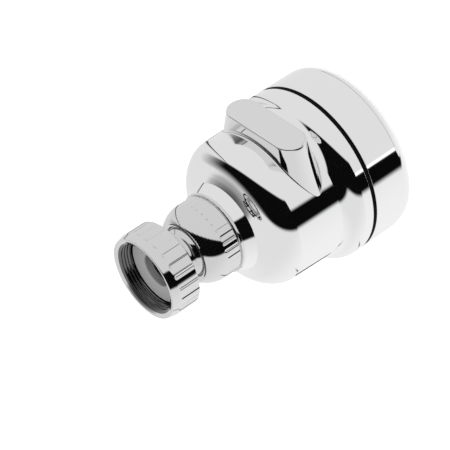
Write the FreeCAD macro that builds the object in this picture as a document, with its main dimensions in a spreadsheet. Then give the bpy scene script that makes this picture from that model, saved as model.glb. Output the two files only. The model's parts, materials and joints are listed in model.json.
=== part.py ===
import FreeCAD, Part
import math
import os

import Sketcher

# Swivel faucet aerator: union nut, ball joint, bell with a finger tab, and a turning spray front.
# Millimetres, +Z up towards the tap, origin on the spray axis in the plane of the front rim.
# The finger tab points along +X.

SIZES = (
    # overall heights, all from the plane of the front rim
    ("ring_height", 14.55, "front ring, rim to its top face"),
    ("seam_width", 1.3, "dark seam between front ring and bell"),
    ("bell_height", 36.55, "bell, foot to the seat of the collar"),
    ("ball_drop", 7.6, "ball centre above the seat of the collar"),
    ("nut_standoff", 8.3, "rear face of the nut above the ball centre"),
    # union nut
    ("nut_length", 11.0, "union nut, rear face to mouth"),
    ("nut_radius", 13.3, "barrel of the nut"),
    ("nut_mouth_radius", 12.7, "plain rim at the mouth"),
    ("nut_rim_length", 2.3, "plain rim before the flutes start"),
    ("nut_rear_radius", 10.6, "rear face, inside the rear chamfer"),
    ("nut_rear_chamfer", 1.6, "height of the rear chamfer"),
    ("thread_minor_radius", 10.46, "crest of the internal thread M22x1"),
    ("relief_radius", 10.9, "recess of the nut round the washer"),
    ("relief_gap", 0.1, "recess past the washer's face"),
    ("nut_entry_radius", 11.5, "entry chamfer at the mouth"),
    ("nut_entry_depth", 1.0, "depth of the entry chamfer"),
    ("nut_back_wall", 2.0, "wall that pulls on the stem flange"),
    ("nut_hole_gap", 0.4, "gap between the nut's hole and the neck"),
    ("flute_count", 24, "flutes round the nut"),
    ("flute_radius", 1.15, "radius of one flute"),
    ("flute_depth", 0.5, "depth of one flute"),
    # ball stem and washer
    ("ball_radius", 8.6, "ball of the stem"),
    ("neck_step", 2.0, "neck between ball and flange, inside the ball"),
    ("stem_wall", 2.1, "wall of the neck round the water way"),
    ("stem_mouth_step", 0.7, "bottom opening of the ball outside the water way"),
    ("flange_radius", 9.8, "flange held by the nut"),
    ("flange_thickness", 1.5, "thickness of that flange"),
    ("washer_radius", 10.1, "outer radius of the sealing washer"),
    ("washer_hole_radius", 5.0, "hole of the sealing washer"),
    ("washer_thickness", 2.7, "thickness of the sealing washer"),
    ("washer_lip", 0.6, "rounding of the washer's hole"),
    # ball seat
    ("ball_clearance", 0.1, "running gap between ball and socket"),
    ("seat_wall", 0.3, "rim of the ball seat outside the socket"),
    ("seat_hole_step", 0.9, "water way through the seat outside the stem's"),
    ("seat_top_drop", 3.3, "top of the seat below the ball centre"),
    ("seat_floor", 1.2, "floor of the seat below the ball"),
    ("ball_seal_inset", 1.5, "middle of the ball seal inside the socket"),
    ("ball_seal_section", 0.6, "radius of the ball seal's section"),
    ("seal_pocket", 0.05, "room round a seal in its groove"),
    # socket collar
    ("collar_flange_step", 0.45, "thin flange at the foot, outside the knurled band"),
    ("collar_flange_height", 0.8, "height of that flange"),
    ("collar_wall", 1.5, "wall of the plain step round the neck's thread"),
    ("collar_band_step", 0.4, "knurled band outside that step"),
    ("collar_step_height", 0.4, "height of that step"),
    ("knurl_height", 4.9, "height of the knurled band"),
    ("knurl_count", 24, "grooves round the band"),
    ("knurl_groove_radius", 0.55, "radius of one groove"),
    ("knurl_groove_depth", 0.22, "depth of one groove"),
    ("collar_dome_radius", 9.2, "radius of the arc over the ball"),
    ("collar_lip_width", 0.9, "outer edge of the lip outside the socket"),
    ("collar_lip_height", 4.2, "top of the lip above the ball centre"),
    ("collar_mouth_height", 3.4, "edge that holds the ball, above its centre"),
    ("collar_lip_rounding", 1.1, "rounding from the lip into the mouth"),
    ("neck_wall", 1.2, "threaded neck of the bell round the ball seat"),
    ("neck_tube_height", 4.4, "height of that neck"),
    ("screw_clearance", 0.1, "gap at a screwed joint"),
    # bell
    ("bell_foot_step", 0.1, "foot of the bell inside the front ring"),
    ("bell_rim_step", 0.4, "rim just above the foot, inside the foot"),
    ("bell_rim_height", 3.2, "height of that rim"),
    ("bell_flare_step", 2.9, "waist above the flare, inside the rim"),
    ("bell_waist_height", 11.0, "height of the waist above the foot"),
    ("flare_round", 6.0, "radius of the two arcs of the flare"),
    ("bell_barrel_taper", 0.7, "top of the barrel inside the waist"),
    ("bell_barrel_height", 24.4, "height of the barrel above the foot"),
    ("shoulder_step", 2.5, "end of the rounded shoulder inside the barrel"),
    ("shoulder_height", 29.9, "height of that end above the foot"),
    ("shoulder_round", 7.5, "radius of the shoulder"),
    ("throat_step", 1.5, "foot of the neck boss outside the collar's seat"),
    ("throat_height", 35.4, "height of that point above the foot"),
    ("throat_round", 16.0, "radius of the hollow below the neck"),
    ("collar_seat_width", 2.4, "flat seat of the collar round the neck"),
    ("bell_wall", 1.6, "wall between the barrel's top and the bore"),
    ("bell_mouth_wall", 1.8, "wall between the rim and the wide mouth"),
    ("bell_mouth_height", 4.0, "height of the wide mouth"),
    ("bell_bore_height", 7.0, "start of the straight bore above the foot"),
    ("bell_ledge_height", 24.15, "ledge for the port plate above the foot"),
    ("ledge_width", 2.0, "ledge between the bore and the inlet chamber"),
    ("chamber_height", 4.0, "straight wall of the inlet chamber"),
    ("chamber_slope_radius", 9.0, "inner end of the chamber's sloping ceiling"),
    ("chamber_peak", 9.6, "height of that end above the ledge"),
    ("inlet_step", 0.2, "water way of the bell outside the seat's"),
    # finger tab, a rounded block that stands on the bell along +X
    ("tab_inset", 13.5, "end of the tab's flat inside the front ring"),
    ("tab_low", 10.35, "lower edge of the flat above the foot"),
    ("tab_high", 20.35, "upper edge of the flat above the foot"),
    ("tab_depth", 17.5, "root plane of the tab behind its flat"),
    ("tab_spread", 6.0, "the root is longer than the flat by this at each end"),
    ("tab_root_low", 8.55, "lower edge at the root plane above the foot"),
    ("tab_root_high", 19.95, "upper edge at the root plane above the foot"),
    ("tab_lean", 1.5, "the root stands this far towards -Y"),
    ("tab_edge_round", 0.5, "rounding of the edge of the flat"),
    # port plate and what it holds
    ("plate_thickness", 6.0, "port plate"),
    ("plate_clearance", 0.1, "gap round the port plate"),
    ("plate_seal_section", 0.7, "radius of the rim seal's section"),
    ("plate_seal_drop", 3.0, "rim seal below the ledge"),
    ("port_circle", 7.5, "radius on which the port lies"),
    ("port_radius", 2.2, "water hole of the port"),
    ("port_pocket_radius", 3.6, "pocket of the port seal"),
    ("port_pocket_depth", 4.4, "depth of that pocket"),
    ("port_seal_height", 2.2, "height of the port seal"),
    ("port_seal_hole", 1.6, "hole of the port seal"),
    ("spring_wire", 0.25, "radius of the port spring's wire"),
    ("spring_turns", 3, "turns of the port spring"),
    ("detent_inset", 3.0, "circle of the detent inside that of the stop lug"),
    ("detent_ball_radius", 1.2, "detent ball"),
    ("detent_hole_depth", 4.6, "blind hole above the detent ball"),
    ("detent_clearance", 0.05, "gap round the detent ball"),
    ("detent_track_depth", 0.55, "circular track that the ball runs in"),
    ("detent_wire", 0.18, "radius of the detent spring's wire"),
    ("detent_turns", 4, "turns of the detent spring"),
    ("spring_gap", 0.05, "gap round a spring"),
    ("mode_count", 3, "notches under the detent ball"),
    ("mode_step", 45.0, "angle between two notches"),
    ("notch_radius", 0.7, "notch below the track"),
    ("notch_depth", 0.2, "depth of a notch below the track"),
    ("stop_inset", 2.2, "circle of the stop lug inside the cup's edge"),
    ("stop_radius", 0.9, "radius of the stop lug"),
    ("stop_height", 1.8, "height of the stop lug"),
    ("stop_gap", 0.3, "room round the lug in its slot"),
    # selector cup
    ("face_clearance", 0.2, "gap between port plate and cup"),
    ("slide_clearance", 0.05, "gap under the port seal"),
    ("cup_gap", 0.6, "gap between the cup and the bore"),
    ("cup_top", 3.3, "top wall of the cup"),
    ("cup_wall", 1.8, "side wall of the cup"),
    ("cup_seal_section", 0.5, "radius of the cup seal's section"),
    ("cup_seal_drop", 5.0, "cup seal below the top face"),
    ("centre_tube_radius", 11.4, "outside of the tube round the aerator"),
    ("centre_tube_wall", 1.5, "wall of that tube"),
    ("cup_hub_radius", 4.4, "hub round the pivot screw"),
    ("cup_hub_height", 2.4, "hub below the top wall"),
    ("pivot_radius", 2.0, "shank of the pivot screw"),
    ("pivot_hold", 4.6, "length of the screw in the port plate"),
    ("pivot_clearance", 0.05, "gap between the shank and the hub"),
    ("pivot_head_radius", 3.6, "head of the pivot screw"),
    ("pivot_head_height", 2.0, "height of that head"),
    ("pivot_slot_width", 1.0, "slot in the head"),
    ("pivot_slot_depth", 0.9, "depth of that slot"),
    ("pivot_washer_thickness", 0.5, "washer under the head"),
    ("pivot_washer_radius", 4.2, "outside of that washer"),
    ("stream_port_radius", 2.2, "port of the cup to the centre"),
    ("spray_port_radius", 1.2, "port of the cup to the spray holes"),
    ("spray_port_circle", 12.8, "radius on which that port lies"),
    ("channel_width", 3.6, "channel from the port to the spray port"),
    ("channel_depth", 1.6, "depth of that channel"),
    # front ring, spray plate and nozzle mat
    ("ring_radius", 27.5, "outside of the front ring"),
    ("ring_rounding", 3.0, "rounding of the front rim"),
    ("ring_edge_round", 0.35, "rounding of the ring's top edge"),
    ("ring_wall", 3.1, "wall of the front ring round its threaded bore"),
    ("ring_lip_width", 4.3, "front rim round its opening"),
    ("ring_lip_height", 2.4, "ledge that holds the spray plate"),
    ("plate_front", 2.2, "thickness of the spray plate"),
    ("mat_thickness", 1.4, "thickness of the nozzle mat"),
    ("mat_inset", 1.0, "edge of the nozzle mat inside the ring's bore"),
    ("cup_flange_height", 6.0, "threaded flange of the cup"),
    ("slip_recess", 0.3, "outside of the black slip ring behind the front ring's"),
    ("slip_clearance", 0.1, "gap between slip ring and bell"),
    ("nozzle_rows", 3, "rings of nozzles"),
    ("first_row_gap", 1.8, "inner ring of nozzles outside the centre tube"),
    ("last_row_inset", 3.0, "outer ring of nozzles inside the mat's edge"),
    ("first_row_count", 12, "nozzles of the inner ring"),
    ("row_count_step", 4, "more nozzles on each further ring"),
    ("nozzle_root_radius", 0.95, "nozzle at its root"),
    ("nozzle_tip_radius", 0.6, "nozzle at its tip"),
    ("nozzle_reach", 3.0, "length of a nozzle below the mat"),
    ("nozzle_gap", 0.08, "gap round a nozzle in the plate"),
    # aerator in the middle
    ("centre_clearance", 0.1, "gap round the aerator housing"),
    ("aerator_wall", 1.3, "wall of the housing"),
    ("aerator_top", 16.0, "top of the housing above the front rim"),
    ("aerator_foot", 1.2, "foot of the housing above the front rim"),
    ("aerator_lip", 0.9, "inward lip at the foot"),
    ("aerator_lip_height", 1.0, "thickness of that lip"),
    ("grid_thickness", 1.6, "outlet grid"),
    ("grid_rim", 2.0, "outer ring of holes inside the grid's edge"),
    ("grid_web", 0.59, "web between two rings of holes"),
    ("grid_rows", 3, "rings of holes in the grid"),
    ("grid_first_count", 6, "holes of its inner ring, and more on each further one"),
    ("insert_height", 9.4, "mixing insert with its skirt"),
    ("insert_top", 2.4, "top wall of the insert"),
    ("insert_wall", 0.9, "skirt of the insert"),
    ("insert_jet_circle", 5.2, "radius on which its jets lie"),
    ("insert_jet_count", 12, "jets of the insert"),
    ("insert_jet_radius", 0.5, "radius of a jet"),
    ("regulator_thickness", 2.6, "flow regulator disc"),
    ("regulator_hole", 1.7, "hole of the regulator"),
    ("fit_clearance", 0.05, "gap round a part pushed into a bore"),
)


class Size:
    """A length: its value now and the sheet formula that gives it."""

    def __init__(self, value, formula):
        self.value = float(value)
        self.formula = formula

    def __add__(self, other):
        return combine(self, "+", other, self.value + number(other))

    def __radd__(self, other):
        return combine(other, "+", self, number(other) + self.value)

    def __sub__(self, other):
        return combine(self, "-", other, self.value - number(other))

    def __rsub__(self, other):
        return combine(other, "-", self, number(other) - self.value)

    def __mul__(self, other):
        return combine(self, "*", other, self.value * number(other))

    def __rmul__(self, other):
        return combine(other, "*", self, number(other) * self.value)

    def __truediv__(self, other):
        return combine(self, "/", other, self.value / number(other))

    def __neg__(self):
        return combine(0, "-", self, -self.value)


def number(term):
    return term.value if isinstance(term, Size) else float(term)


def formula(term):
    return term.formula if isinstance(term, Size) else repr(float(term))


def combine(left, sign, right, value):
    return Size(value, "(%s %s %s)" % (formula(left), sign, formula(right)))


def leg(long_side, short_side):
    """The other leg of a right triangle, such as the height of a circle's point over its centre."""
    square = long_side * long_side - short_side * short_side
    return Size(math.sqrt(square.value), "sqrt(%s)" % square.formula)


def slope(rise, run):
    """Angle in degrees of a slope."""
    ratio = rise / run
    return Size(math.degrees(math.atan(ratio.value)), "(atan(%s) / 1 deg)" % ratio.formula)


def along(length, angle):
    """The part of a length along +X when it is turned by an angle in degrees."""
    value = length.value * math.cos(math.radians(angle.value))
    return Size(value, "(%s * cos(%s))" % (length.formula, angle.formula))


def across(length, angle):
    """The part of a length along +Y when it is turned by an angle in degrees."""
    value = length.value * math.sin(math.radians(angle.value))
    return Size(value, "(%s * sin(%s))" % (length.formula, angle.formula))


def make_sheet(document):
    sheet = document.addObject("Spreadsheet::Sheet", "Sizes")
    for row, (alias, value, note) in enumerate(SIZES, start=1):
        sheet.set("A%d" % row, note)
        sheet.set("B%d" % row, str(value))
        sheet.setAlias("B%d" % row, alias)
    document.recompute()
    return sheet


class SheetSizes:
    """Gives each alias of the sheet as a Size."""

    def __init__(self, sheet):
        for alias, _value, _note in SIZES:
            setattr(self, alias, Size(sheet.get(alias), "Sizes." + alias))


DOC = FreeCAD.newDocument("SwivelAerator")
S = SheetSizes(make_sheet(DOC))
FULL_TURN = 360
HALF = 0.5
CUT_OVER = 1.0

# heights of the main faces, from the front rim up
FOOT = S.ring_height + S.seam_width
SEAT = FOOT + S.bell_height
BALL = SEAT + S.ball_drop
NUT_REAR = BALL + S.nut_standoff
NUT_MOUTH = NUT_REAR + S.nut_length
LEDGE = FOOT + S.bell_ledge_height
PLATE_FACE = LEDGE - S.plate_thickness
CUP_FACE = PLATE_FACE - S.face_clearance
CUP_CEILING = CUP_FACE - S.cup_top
MAT_FLOOR = S.ring_lip_height + S.plate_front
CUP_FOOT = MAT_FLOOR + S.mat_thickness
FLANGE = NUT_REAR + S.nut_back_wall + S.ball_clearance
WASHER_FLOOR = FLANGE + S.flange_thickness
WASHER_TOP = WASHER_FLOOR + S.washer_thickness
SOCKET = S.ball_radius + S.ball_clearance
NECK = S.ball_radius - S.neck_step
STEM_BORE = NECK - S.stem_wall
STEM_MOUTH = STEM_BORE + S.stem_mouth_step
SEAT_HOLE = STEM_BORE + S.seat_hole_step
INLET = SEAT_HOLE + S.inlet_step
BALL_SEAL = SOCKET - S.ball_seal_inset
SEAT_FLOOR = BALL - leg(SOCKET, SEAT_HOLE) - S.seat_floor
TUBE_BORE = S.centre_tube_radius - S.centre_tube_wall
AERATOR = TUBE_BORE - S.centre_clearance
AERATOR_BORE = AERATOR - S.aerator_wall

# radii round the ball, all from the ball's
NUT_HOLE = NECK + S.nut_hole_gap
SEAT_RIM = SOCKET + S.seat_wall
NECK_TUBE = SEAT_RIM + S.ball_clearance + S.neck_wall
COLLAR_SEAT = NECK_TUBE + S.collar_seat_width
COLLAR_STEP = NECK_TUBE + S.screw_clearance + S.collar_wall
COLLAR = COLLAR_STEP + S.collar_band_step

# radii of the head, all from the front ring's
RING_BORE = S.ring_radius - S.ring_wall
RING_LIP = S.ring_radius - S.ring_lip_width
BELL_FOOT = S.ring_radius - S.bell_foot_step
BELL_RIM = BELL_FOOT - S.bell_rim_step
BELL_WAIST = BELL_RIM - S.bell_flare_step
BELL_BARREL = BELL_WAIST - S.bell_barrel_taper
BELL_SHOULDER = BELL_BARREL - S.shoulder_step
BELL_BORE = BELL_BARREL - S.bell_wall
CHAMBER = BELL_BORE - S.ledge_width
CUP = BELL_BORE - S.cup_gap
STOP_CIRCLE = CUP - S.stop_inset
DETENT_CIRCLE = STOP_CIRCLE - S.detent_inset
MAT = RING_BORE - S.mat_inset
FIRST_ROW = S.centre_tube_radius + S.first_row_gap
ROW_STEP = (MAT - S.last_row_inset - FIRST_ROW) / (S.nozzle_rows - 1)
TAB_HALF = S.ring_radius - S.tab_inset
TAB_ROOT = S.ring_radius - S.tab_depth

DETENT_BALL = CUP_FACE - S.detent_track_depth + S.detent_clearance + S.detent_ball_radius
PARTS = []


def bind(thing, name, size):
    thing.setExpression(name, formula(size))


def new_body(label):
    body = DOC.addObject("PartDesign::Body", label)
    body.Label = label
    PARTS.append(body)
    return body


def origin_plane(body, role):
    return next(item for item in body.Origin.OriginFeatures if item.Role == role)


def new_sketch(body, name, role="XZ_Plane", lift=None):
    """An empty sketch on an origin plane of its body, raised along the plane's normal by lift."""
    sketch = body.newObject("Sketcher::SketchObject", name)
    sketch.AttachmentSupport = (origin_plane(body, role), [""])
    sketch.MapMode = "FlatFace"
    if lift is not None:
        bind(sketch, "AttachmentOffset.Base.z", lift)
    return sketch


def hold(sketch, kind, geometry, point, size):
    """Fix a point's distance from the origin, or put it on an axis where that distance is nothing."""
    axis = {"DistanceX": -2, "DistanceY": -1}[kind]
    if not isinstance(size, Size):
        sketch.addConstraint(Sketcher.Constraint("PointOnObject", geometry, point, axis))
        return
    index = sketch.addConstraint(Sketcher.Constraint(kind, -1, 1, geometry, point, size.value))
    bind(sketch, "Constraints[%d]" % index, size)


def bent_edge(start, end, radius):
    """An arc from start to end; a positive radius turns left on the way, a negative one right."""
    chord = end - start
    side = FreeCAD.Vector(-chord.y, chord.x, 0).normalize()
    depth = math.sqrt(radius * radius - chord.Length * chord.Length / 4)
    turn = 1 if radius > 0 else -1
    centre = start + chord * HALF + side * depth * turn
    middle = centre - side * abs(radius) * turn
    return Part.Arc(start, middle, end)


def draw(sketch, points):
    """Draw a closed outline. A third value of a point bends the edge that leaves it."""
    vectors = [FreeCAD.Vector(number(point[0]), number(point[1]), 0) for point in points]
    ends = []
    for index, point in enumerate(points):
        start = vectors[index]
        end = vectors[(index + 1) % len(points)]
        radius = point[2] if len(point) > 2 else None
        if radius is None:
            geometry = sketch.addGeometry(Part.LineSegment(start, end), False)
            ends.append((geometry, 1, 2))
            continue
        geometry = sketch.addGeometry(bent_edge(start, end, number(radius)), False)
        ends.append((geometry, 1, 2) if number(radius) > 0 else (geometry, 2, 1))
        length = Size(abs(radius.value), "abs(%s)" % radius.formula)
        row = sketch.addConstraint(Sketcher.Constraint("Radius", geometry, length.value))
        bind(sketch, "Constraints[%d]" % row, length)
    for index, (geometry, first, last) in enumerate(ends):
        following = ends[(index + 1) % len(ends)]
        joint = Sketcher.Constraint("Coincident", geometry, last, following[0], following[1])
        sketch.addConstraint(joint)
        hold(sketch, "DistanceX", geometry, first, points[index][0])
        hold(sketch, "DistanceY", geometry, first, points[index][1])
    return sketch


def draw_circle(sketch, right, up, radius):
    centre = FreeCAD.Vector(number(right), number(up), 0)
    normal = FreeCAD.Vector(0, 0, 1)
    geometry = sketch.addGeometry(Part.Circle(centre, normal, radius.value), False)
    row = sketch.addConstraint(Sketcher.Constraint("Radius", geometry, radius.value))
    bind(sketch, "Constraints[%d]" % row, radius)
    hold(sketch, "DistanceX", geometry, 3, right)
    hold(sketch, "DistanceY", geometry, 3, up)
    return sketch


def turn_outline(body, name, points, kind="PartDesign::Revolution"):
    """A full turn of an outline about the spray axis, added to the body or cut from it."""
    sketch = draw(new_sketch(body, name + "_outline"), points)
    return turn_sketch(body, name, sketch, kind)


def turn_sketch(body, name, sketch, kind="PartDesign::Groove", axis="V_Axis"):
    feature = body.newObject(kind, name)
    feature.Profile = sketch
    feature.ReferenceAxis = (sketch, [axis])
    feature.Angle = FULL_TURN
    sketch.Visibility = False
    return feature


def add_upright_axis(sketch, centre):
    """A construction line that an outline away from the spray axis turns about."""
    low = FreeCAD.Vector(centre.value, 0, 0)
    high = FreeCAD.Vector(centre.value, 1, 0)
    line = sketch.addGeometry(Part.LineSegment(low, high), True)
    sketch.addConstraint(Sketcher.Constraint("Vertical", line))
    hold(sketch, "DistanceX", line, 1, centre)


def ring_groove(body, name, radius, height, section):
    """A groove of round section about the spray axis."""
    sketch = draw_circle(new_sketch(body, name + "_outline"), radius, height, section)
    return turn_sketch(body, name, sketch)


def extrude(body, name, sketch, length, kind="PartDesign::Pocket", reverse=False):
    feature = body.newObject(kind, name)
    feature.Profile = sketch
    bind(feature, "Length", length)
    feature.Reversed = reverse
    sketch.Visibility = False
    return feature


def round_pocket(body, name, right, back, radius, floor, depth):
    """A round hole cut upwards from the height floor."""
    sketch = draw_circle(new_sketch(body, name + "_outline", "XY_Plane", floor), right, back, radius)
    return extrude(body, name, sketch, depth, reverse=True)


def pattern(body, name, feature, count, angle=None):
    """Repeat a feature about the spray axis, all round or over an angle."""
    polar = body.newObject("PartDesign::PolarPattern", name)
    polar.Originals = [feature]
    polar.Axis = (next(i for i in body.Origin.OriginFeatures if i.Role == "Z_Axis"), [""])
    if angle is None:
        polar.Angle = FULL_TURN
    else:
        bind(polar, "Angle", angle)
    bind(polar, "Occurrences", count)
    body.Tip = polar
    return polar


def make_union_nut():
    body = new_body("union_nut")
    hole_top = NUT_REAR + S.nut_back_wall
    entry = NUT_MOUTH - S.nut_entry_depth
    rim = NUT_MOUTH - S.nut_rim_length
    turn_outline(body, "nut", [
        (NUT_HOLE, NUT_REAR),
        (S.nut_rear_radius, NUT_REAR),
        (S.nut_radius, NUT_REAR + S.nut_rear_chamfer),
        (S.nut_radius, rim - (S.nut_radius - S.nut_mouth_radius)),
        (S.nut_mouth_radius, rim),
        (S.nut_mouth_radius, NUT_MOUTH),
        (S.nut_entry_radius, NUT_MOUTH),
        (S.thread_minor_radius, entry),
        (S.thread_minor_radius, WASHER_TOP + S.relief_gap),
        (S.relief_radius, WASHER_TOP + S.relief_gap),
        (S.relief_radius, hole_top),
        (NUT_HOLE, hole_top),
    ])
    centre = S.nut_radius - S.flute_depth + S.flute_radius
    sketch = new_sketch(body, "flute_outline")
    draw(sketch, [
        (centre, NUT_REAR - CUT_OVER),
        (centre + S.flute_radius, NUT_REAR - CUT_OVER),
        (centre + S.flute_radius, rim - S.flute_radius, S.flute_radius),
        (centre, rim),
    ])
    add_upright_axis(sketch, centre)
    flute = turn_sketch(body, "flute", sketch, axis="Axis0")
    pattern(body, "flutes", flute, S.flute_count)


def make_ball_stem():
    body = new_body("ball_stem")
    mouth = BALL - leg(S.ball_radius, STEM_MOUTH)
    turn_outline(body, "stem", [
        (STEM_BORE, mouth + STEM_MOUTH - STEM_BORE),
        (STEM_MOUTH, mouth, S.ball_radius),
        (S.ball_radius, BALL, S.ball_radius),
        (NECK, BALL + leg(S.ball_radius, NECK)),
        (NECK, FLANGE),
        (S.flange_radius, FLANGE),
        (S.flange_radius, WASHER_FLOOR),
        (STEM_BORE, WASHER_FLOOR),
    ])


def make_sealing_washer():
    body = new_body("sealing_washer")
    hole = S.washer_hole_radius
    turn_outline(body, "washer", [
        (hole, WASHER_FLOOR),
        (S.washer_radius, WASHER_FLOOR),
        (S.washer_radius, WASHER_TOP),
        (hole + S.washer_lip, WASHER_TOP, S.washer_lip),
        (hole, WASHER_TOP - S.washer_lip),
    ])


def make_ball_seat():
    body = new_body("ball_seat")
    top = BALL - S.seat_top_drop
    turn_outline(body, "seat", [
        (SEAT_HOLE, SEAT_FLOOR),
        (SEAT_RIM, SEAT_FLOOR),
        (SEAT_RIM, top),
        (leg(SOCKET, S.seat_top_drop), top, -SOCKET),
        (SEAT_HOLE, BALL - leg(SOCKET, SEAT_HOLE)),
    ])
    height = BALL - leg(SOCKET + S.ball_seal_section, BALL_SEAL)
    ring_groove(body, "seal_groove", BALL_SEAL, height, S.ball_seal_section + S.seal_pocket)
    make_seal_ring("ball_seal", BALL_SEAL, height, S.ball_seal_section)


def make_seal_ring(label, radius, height, section):
    """A round-section ring about the spray axis."""
    ring = DOC.addObject("Part::Torus", label)
    ring.Label = label
    bind(ring, "Radius1", radius)
    bind(ring, "Radius2", section)
    bind(ring, "Placement.Base.z", height)
    PARTS.append(ring)


def make_socket_collar():
    body = new_body("socket_collar")
    step = SEAT + S.collar_flange_height
    band = step + S.collar_step_height
    dome = band + S.knurl_height
    lip = BALL + S.collar_lip_height
    mouth = BALL + S.collar_mouth_height
    mouth_radius = leg(SOCKET, S.collar_mouth_height)
    thread_top = SEAT + S.neck_tube_height + S.screw_clearance
    bore = NECK_TUBE + S.screw_clearance
    turn_outline(body, "collar", [
        (bore, SEAT),
        (COLLAR + S.collar_flange_step, SEAT),
        (COLLAR + S.collar_flange_step, step),
        (COLLAR_STEP, step),
        (COLLAR, band),
        (COLLAR, dome, S.collar_dome_radius),
        (SOCKET + S.collar_lip_width, lip, S.collar_lip_rounding),
        (mouth_radius, mouth, -SOCKET),
        (SOCKET, BALL),
        (SOCKET, thread_top),
        (bore, thread_top),
    ])
    centre = COLLAR - S.knurl_groove_depth + S.knurl_groove_radius
    groove = round_pocket(body, "knurl", centre, 0, S.knurl_groove_radius, band, S.knurl_height)
    pattern(body, "knurls", groove, S.knurl_count)


def make_bell_housing():
    body = new_body("bell_housing")
    flare_across = (BELL_RIM + BELL_WAIST) * HALF
    flare_up = FOOT + (S.bell_rim_height + S.bell_waist_height) * HALF
    neck_top = SEAT + S.neck_tube_height
    turn_outline(body, "bell", [
        (0, FOOT),
        (BELL_FOOT, FOOT),
        (BELL_RIM, FOOT + S.bell_rim_height, S.flare_round),
        (flare_across, flare_up, -S.flare_round),
        (BELL_WAIST, FOOT + S.bell_waist_height),
        (BELL_BARREL, FOOT + S.bell_barrel_height, S.shoulder_round),
        (BELL_SHOULDER, FOOT + S.shoulder_height, -S.throat_round),
        (COLLAR_SEAT + S.throat_step, FOOT + S.throat_height),
        (COLLAR_SEAT, SEAT),
        (NECK_TUBE, SEAT),
        (NECK_TUBE, neck_top),
        (0, neck_top),
    ])
    root = tab_outline(body, "tab_root", TAB_ROOT, TAB_HALF + S.tab_spread,
                       S.tab_root_low, S.tab_root_high, -S.tab_lean)
    flat = tab_outline(body, "tab_flat", S.ring_radius, TAB_HALF, S.tab_low, S.tab_high, 0)
    tab = body.newObject("PartDesign::AdditiveLoft", "finger_tab")
    tab.Profile = root
    tab.Sections = [flat]
    tab.Ruled = True
    seat_bore = SEAT_RIM + S.ball_clearance
    hollow = turn_outline(body, "hollow", [
        (0, FOOT - CUT_OVER),
        (BELL_RIM - S.bell_mouth_wall, FOOT - CUT_OVER),
        (BELL_RIM - S.bell_mouth_wall, FOOT + S.bell_mouth_height),
        (BELL_BORE, FOOT + S.bell_bore_height),
        (BELL_BORE, LEDGE),
        (CHAMBER, LEDGE),
        (CHAMBER, LEDGE + S.chamber_height),
        (S.chamber_slope_radius, LEDGE + S.chamber_peak),
        (INLET, LEDGE + S.chamber_peak),
        (INLET, SEAT_FLOOR - S.ball_clearance),
        (seat_bore, SEAT_FLOOR - S.ball_clearance),
        (seat_bore, neck_top + CUT_OVER),
        (0, neck_top + CUT_OVER),
    ], "PartDesign::Groove")
    DOC.recompute()
    edges = [
        "Edge%d" % index
        for index, edge in enumerate(hollow.Shape.Edges, start=1)
        if abs(edge.BoundBox.XMin - S.ring_radius.value) < 0.001
    ]
    fillet = body.newObject("PartDesign::Fillet", "tab_edge")
    fillet.Base = (hollow, edges)
    bind(fillet, "Radius", S.tab_edge_round)
    body.Tip = fillet


def tab_outline(body, name, reach, half_length, low, high, shift):
    """A rounded bar across the bell, seen from the side the tab faces."""
    rounding = (high - low) * HALF
    middle = FOOT + (low + high) * HALF
    straight = half_length - rounding
    sketch = new_sketch(body, name, "YZ_Plane", reach)
    draw(sketch, [
        (shift - straight, FOOT + low),
        (shift + straight, FOOT + low, rounding),
        (shift + half_length, middle, rounding),
        (shift + straight, FOOT + high),
        (shift - straight, FOOT + high, rounding),
        (shift - half_length, middle, rounding),
    ])
    sketch.Visibility = False
    return sketch


def make_port_plate():
    """The fixed half of the valve, with the port seal, the detent and the stop slot."""
    body = new_body("port_plate")
    rim = BELL_BORE - S.plate_clearance
    turn_outline(body, "plate", [(0, PLATE_FACE), (rim, PLATE_FACE), (rim, LEDGE), (0, LEDGE)])
    seal_radius = BELL_BORE - S.fit_clearance - S.plate_seal_section
    seal_height = LEDGE - S.plate_seal_drop
    ring_groove(body, "rim_groove", seal_radius, seal_height, S.plate_seal_section + S.seal_pocket)
    make_seal_ring("plate_seal", seal_radius, seal_height, S.plate_seal_section)
    below = PLATE_FACE - CUT_OVER
    round_pocket(body, "port", 0, -S.port_circle, S.port_radius, below, S.plate_thickness + CUT_OVER * 2)
    round_pocket(body, "port_pocket", 0, -S.port_circle, S.port_pocket_radius, below,
                 S.port_pocket_depth + CUT_OVER)
    ball_hole = S.detent_ball_radius + S.detent_clearance
    round_pocket(body, "detent_hole", -DETENT_CIRCLE, 0, ball_hole, below,
                 S.detent_hole_depth + CUT_OVER)
    round_pocket(body, "pivot_hole", 0, 0, S.pivot_radius + S.fit_clearance, below,
                 S.pivot_hold + S.spring_gap + CUT_OVER)
    room = S.stop_radius + S.stop_gap
    sketch = draw(new_sketch(body, "stop_slot_outline"), [
        (STOP_CIRCLE - room, below),
        (STOP_CIRCLE + room, below),
        (STOP_CIRCLE + room, PLATE_FACE + S.stop_height),
        (STOP_CIRCLE - room, PLATE_FACE + S.stop_height),
    ])
    slot = turn_sketch(body, "stop_slot", sketch)
    slot.Midplane = True
    bind(slot, "Angle", mode_range() + slope(room, STOP_CIRCLE) * 2)


def mode_range():
    return S.mode_step * (S.mode_count - 1)


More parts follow.
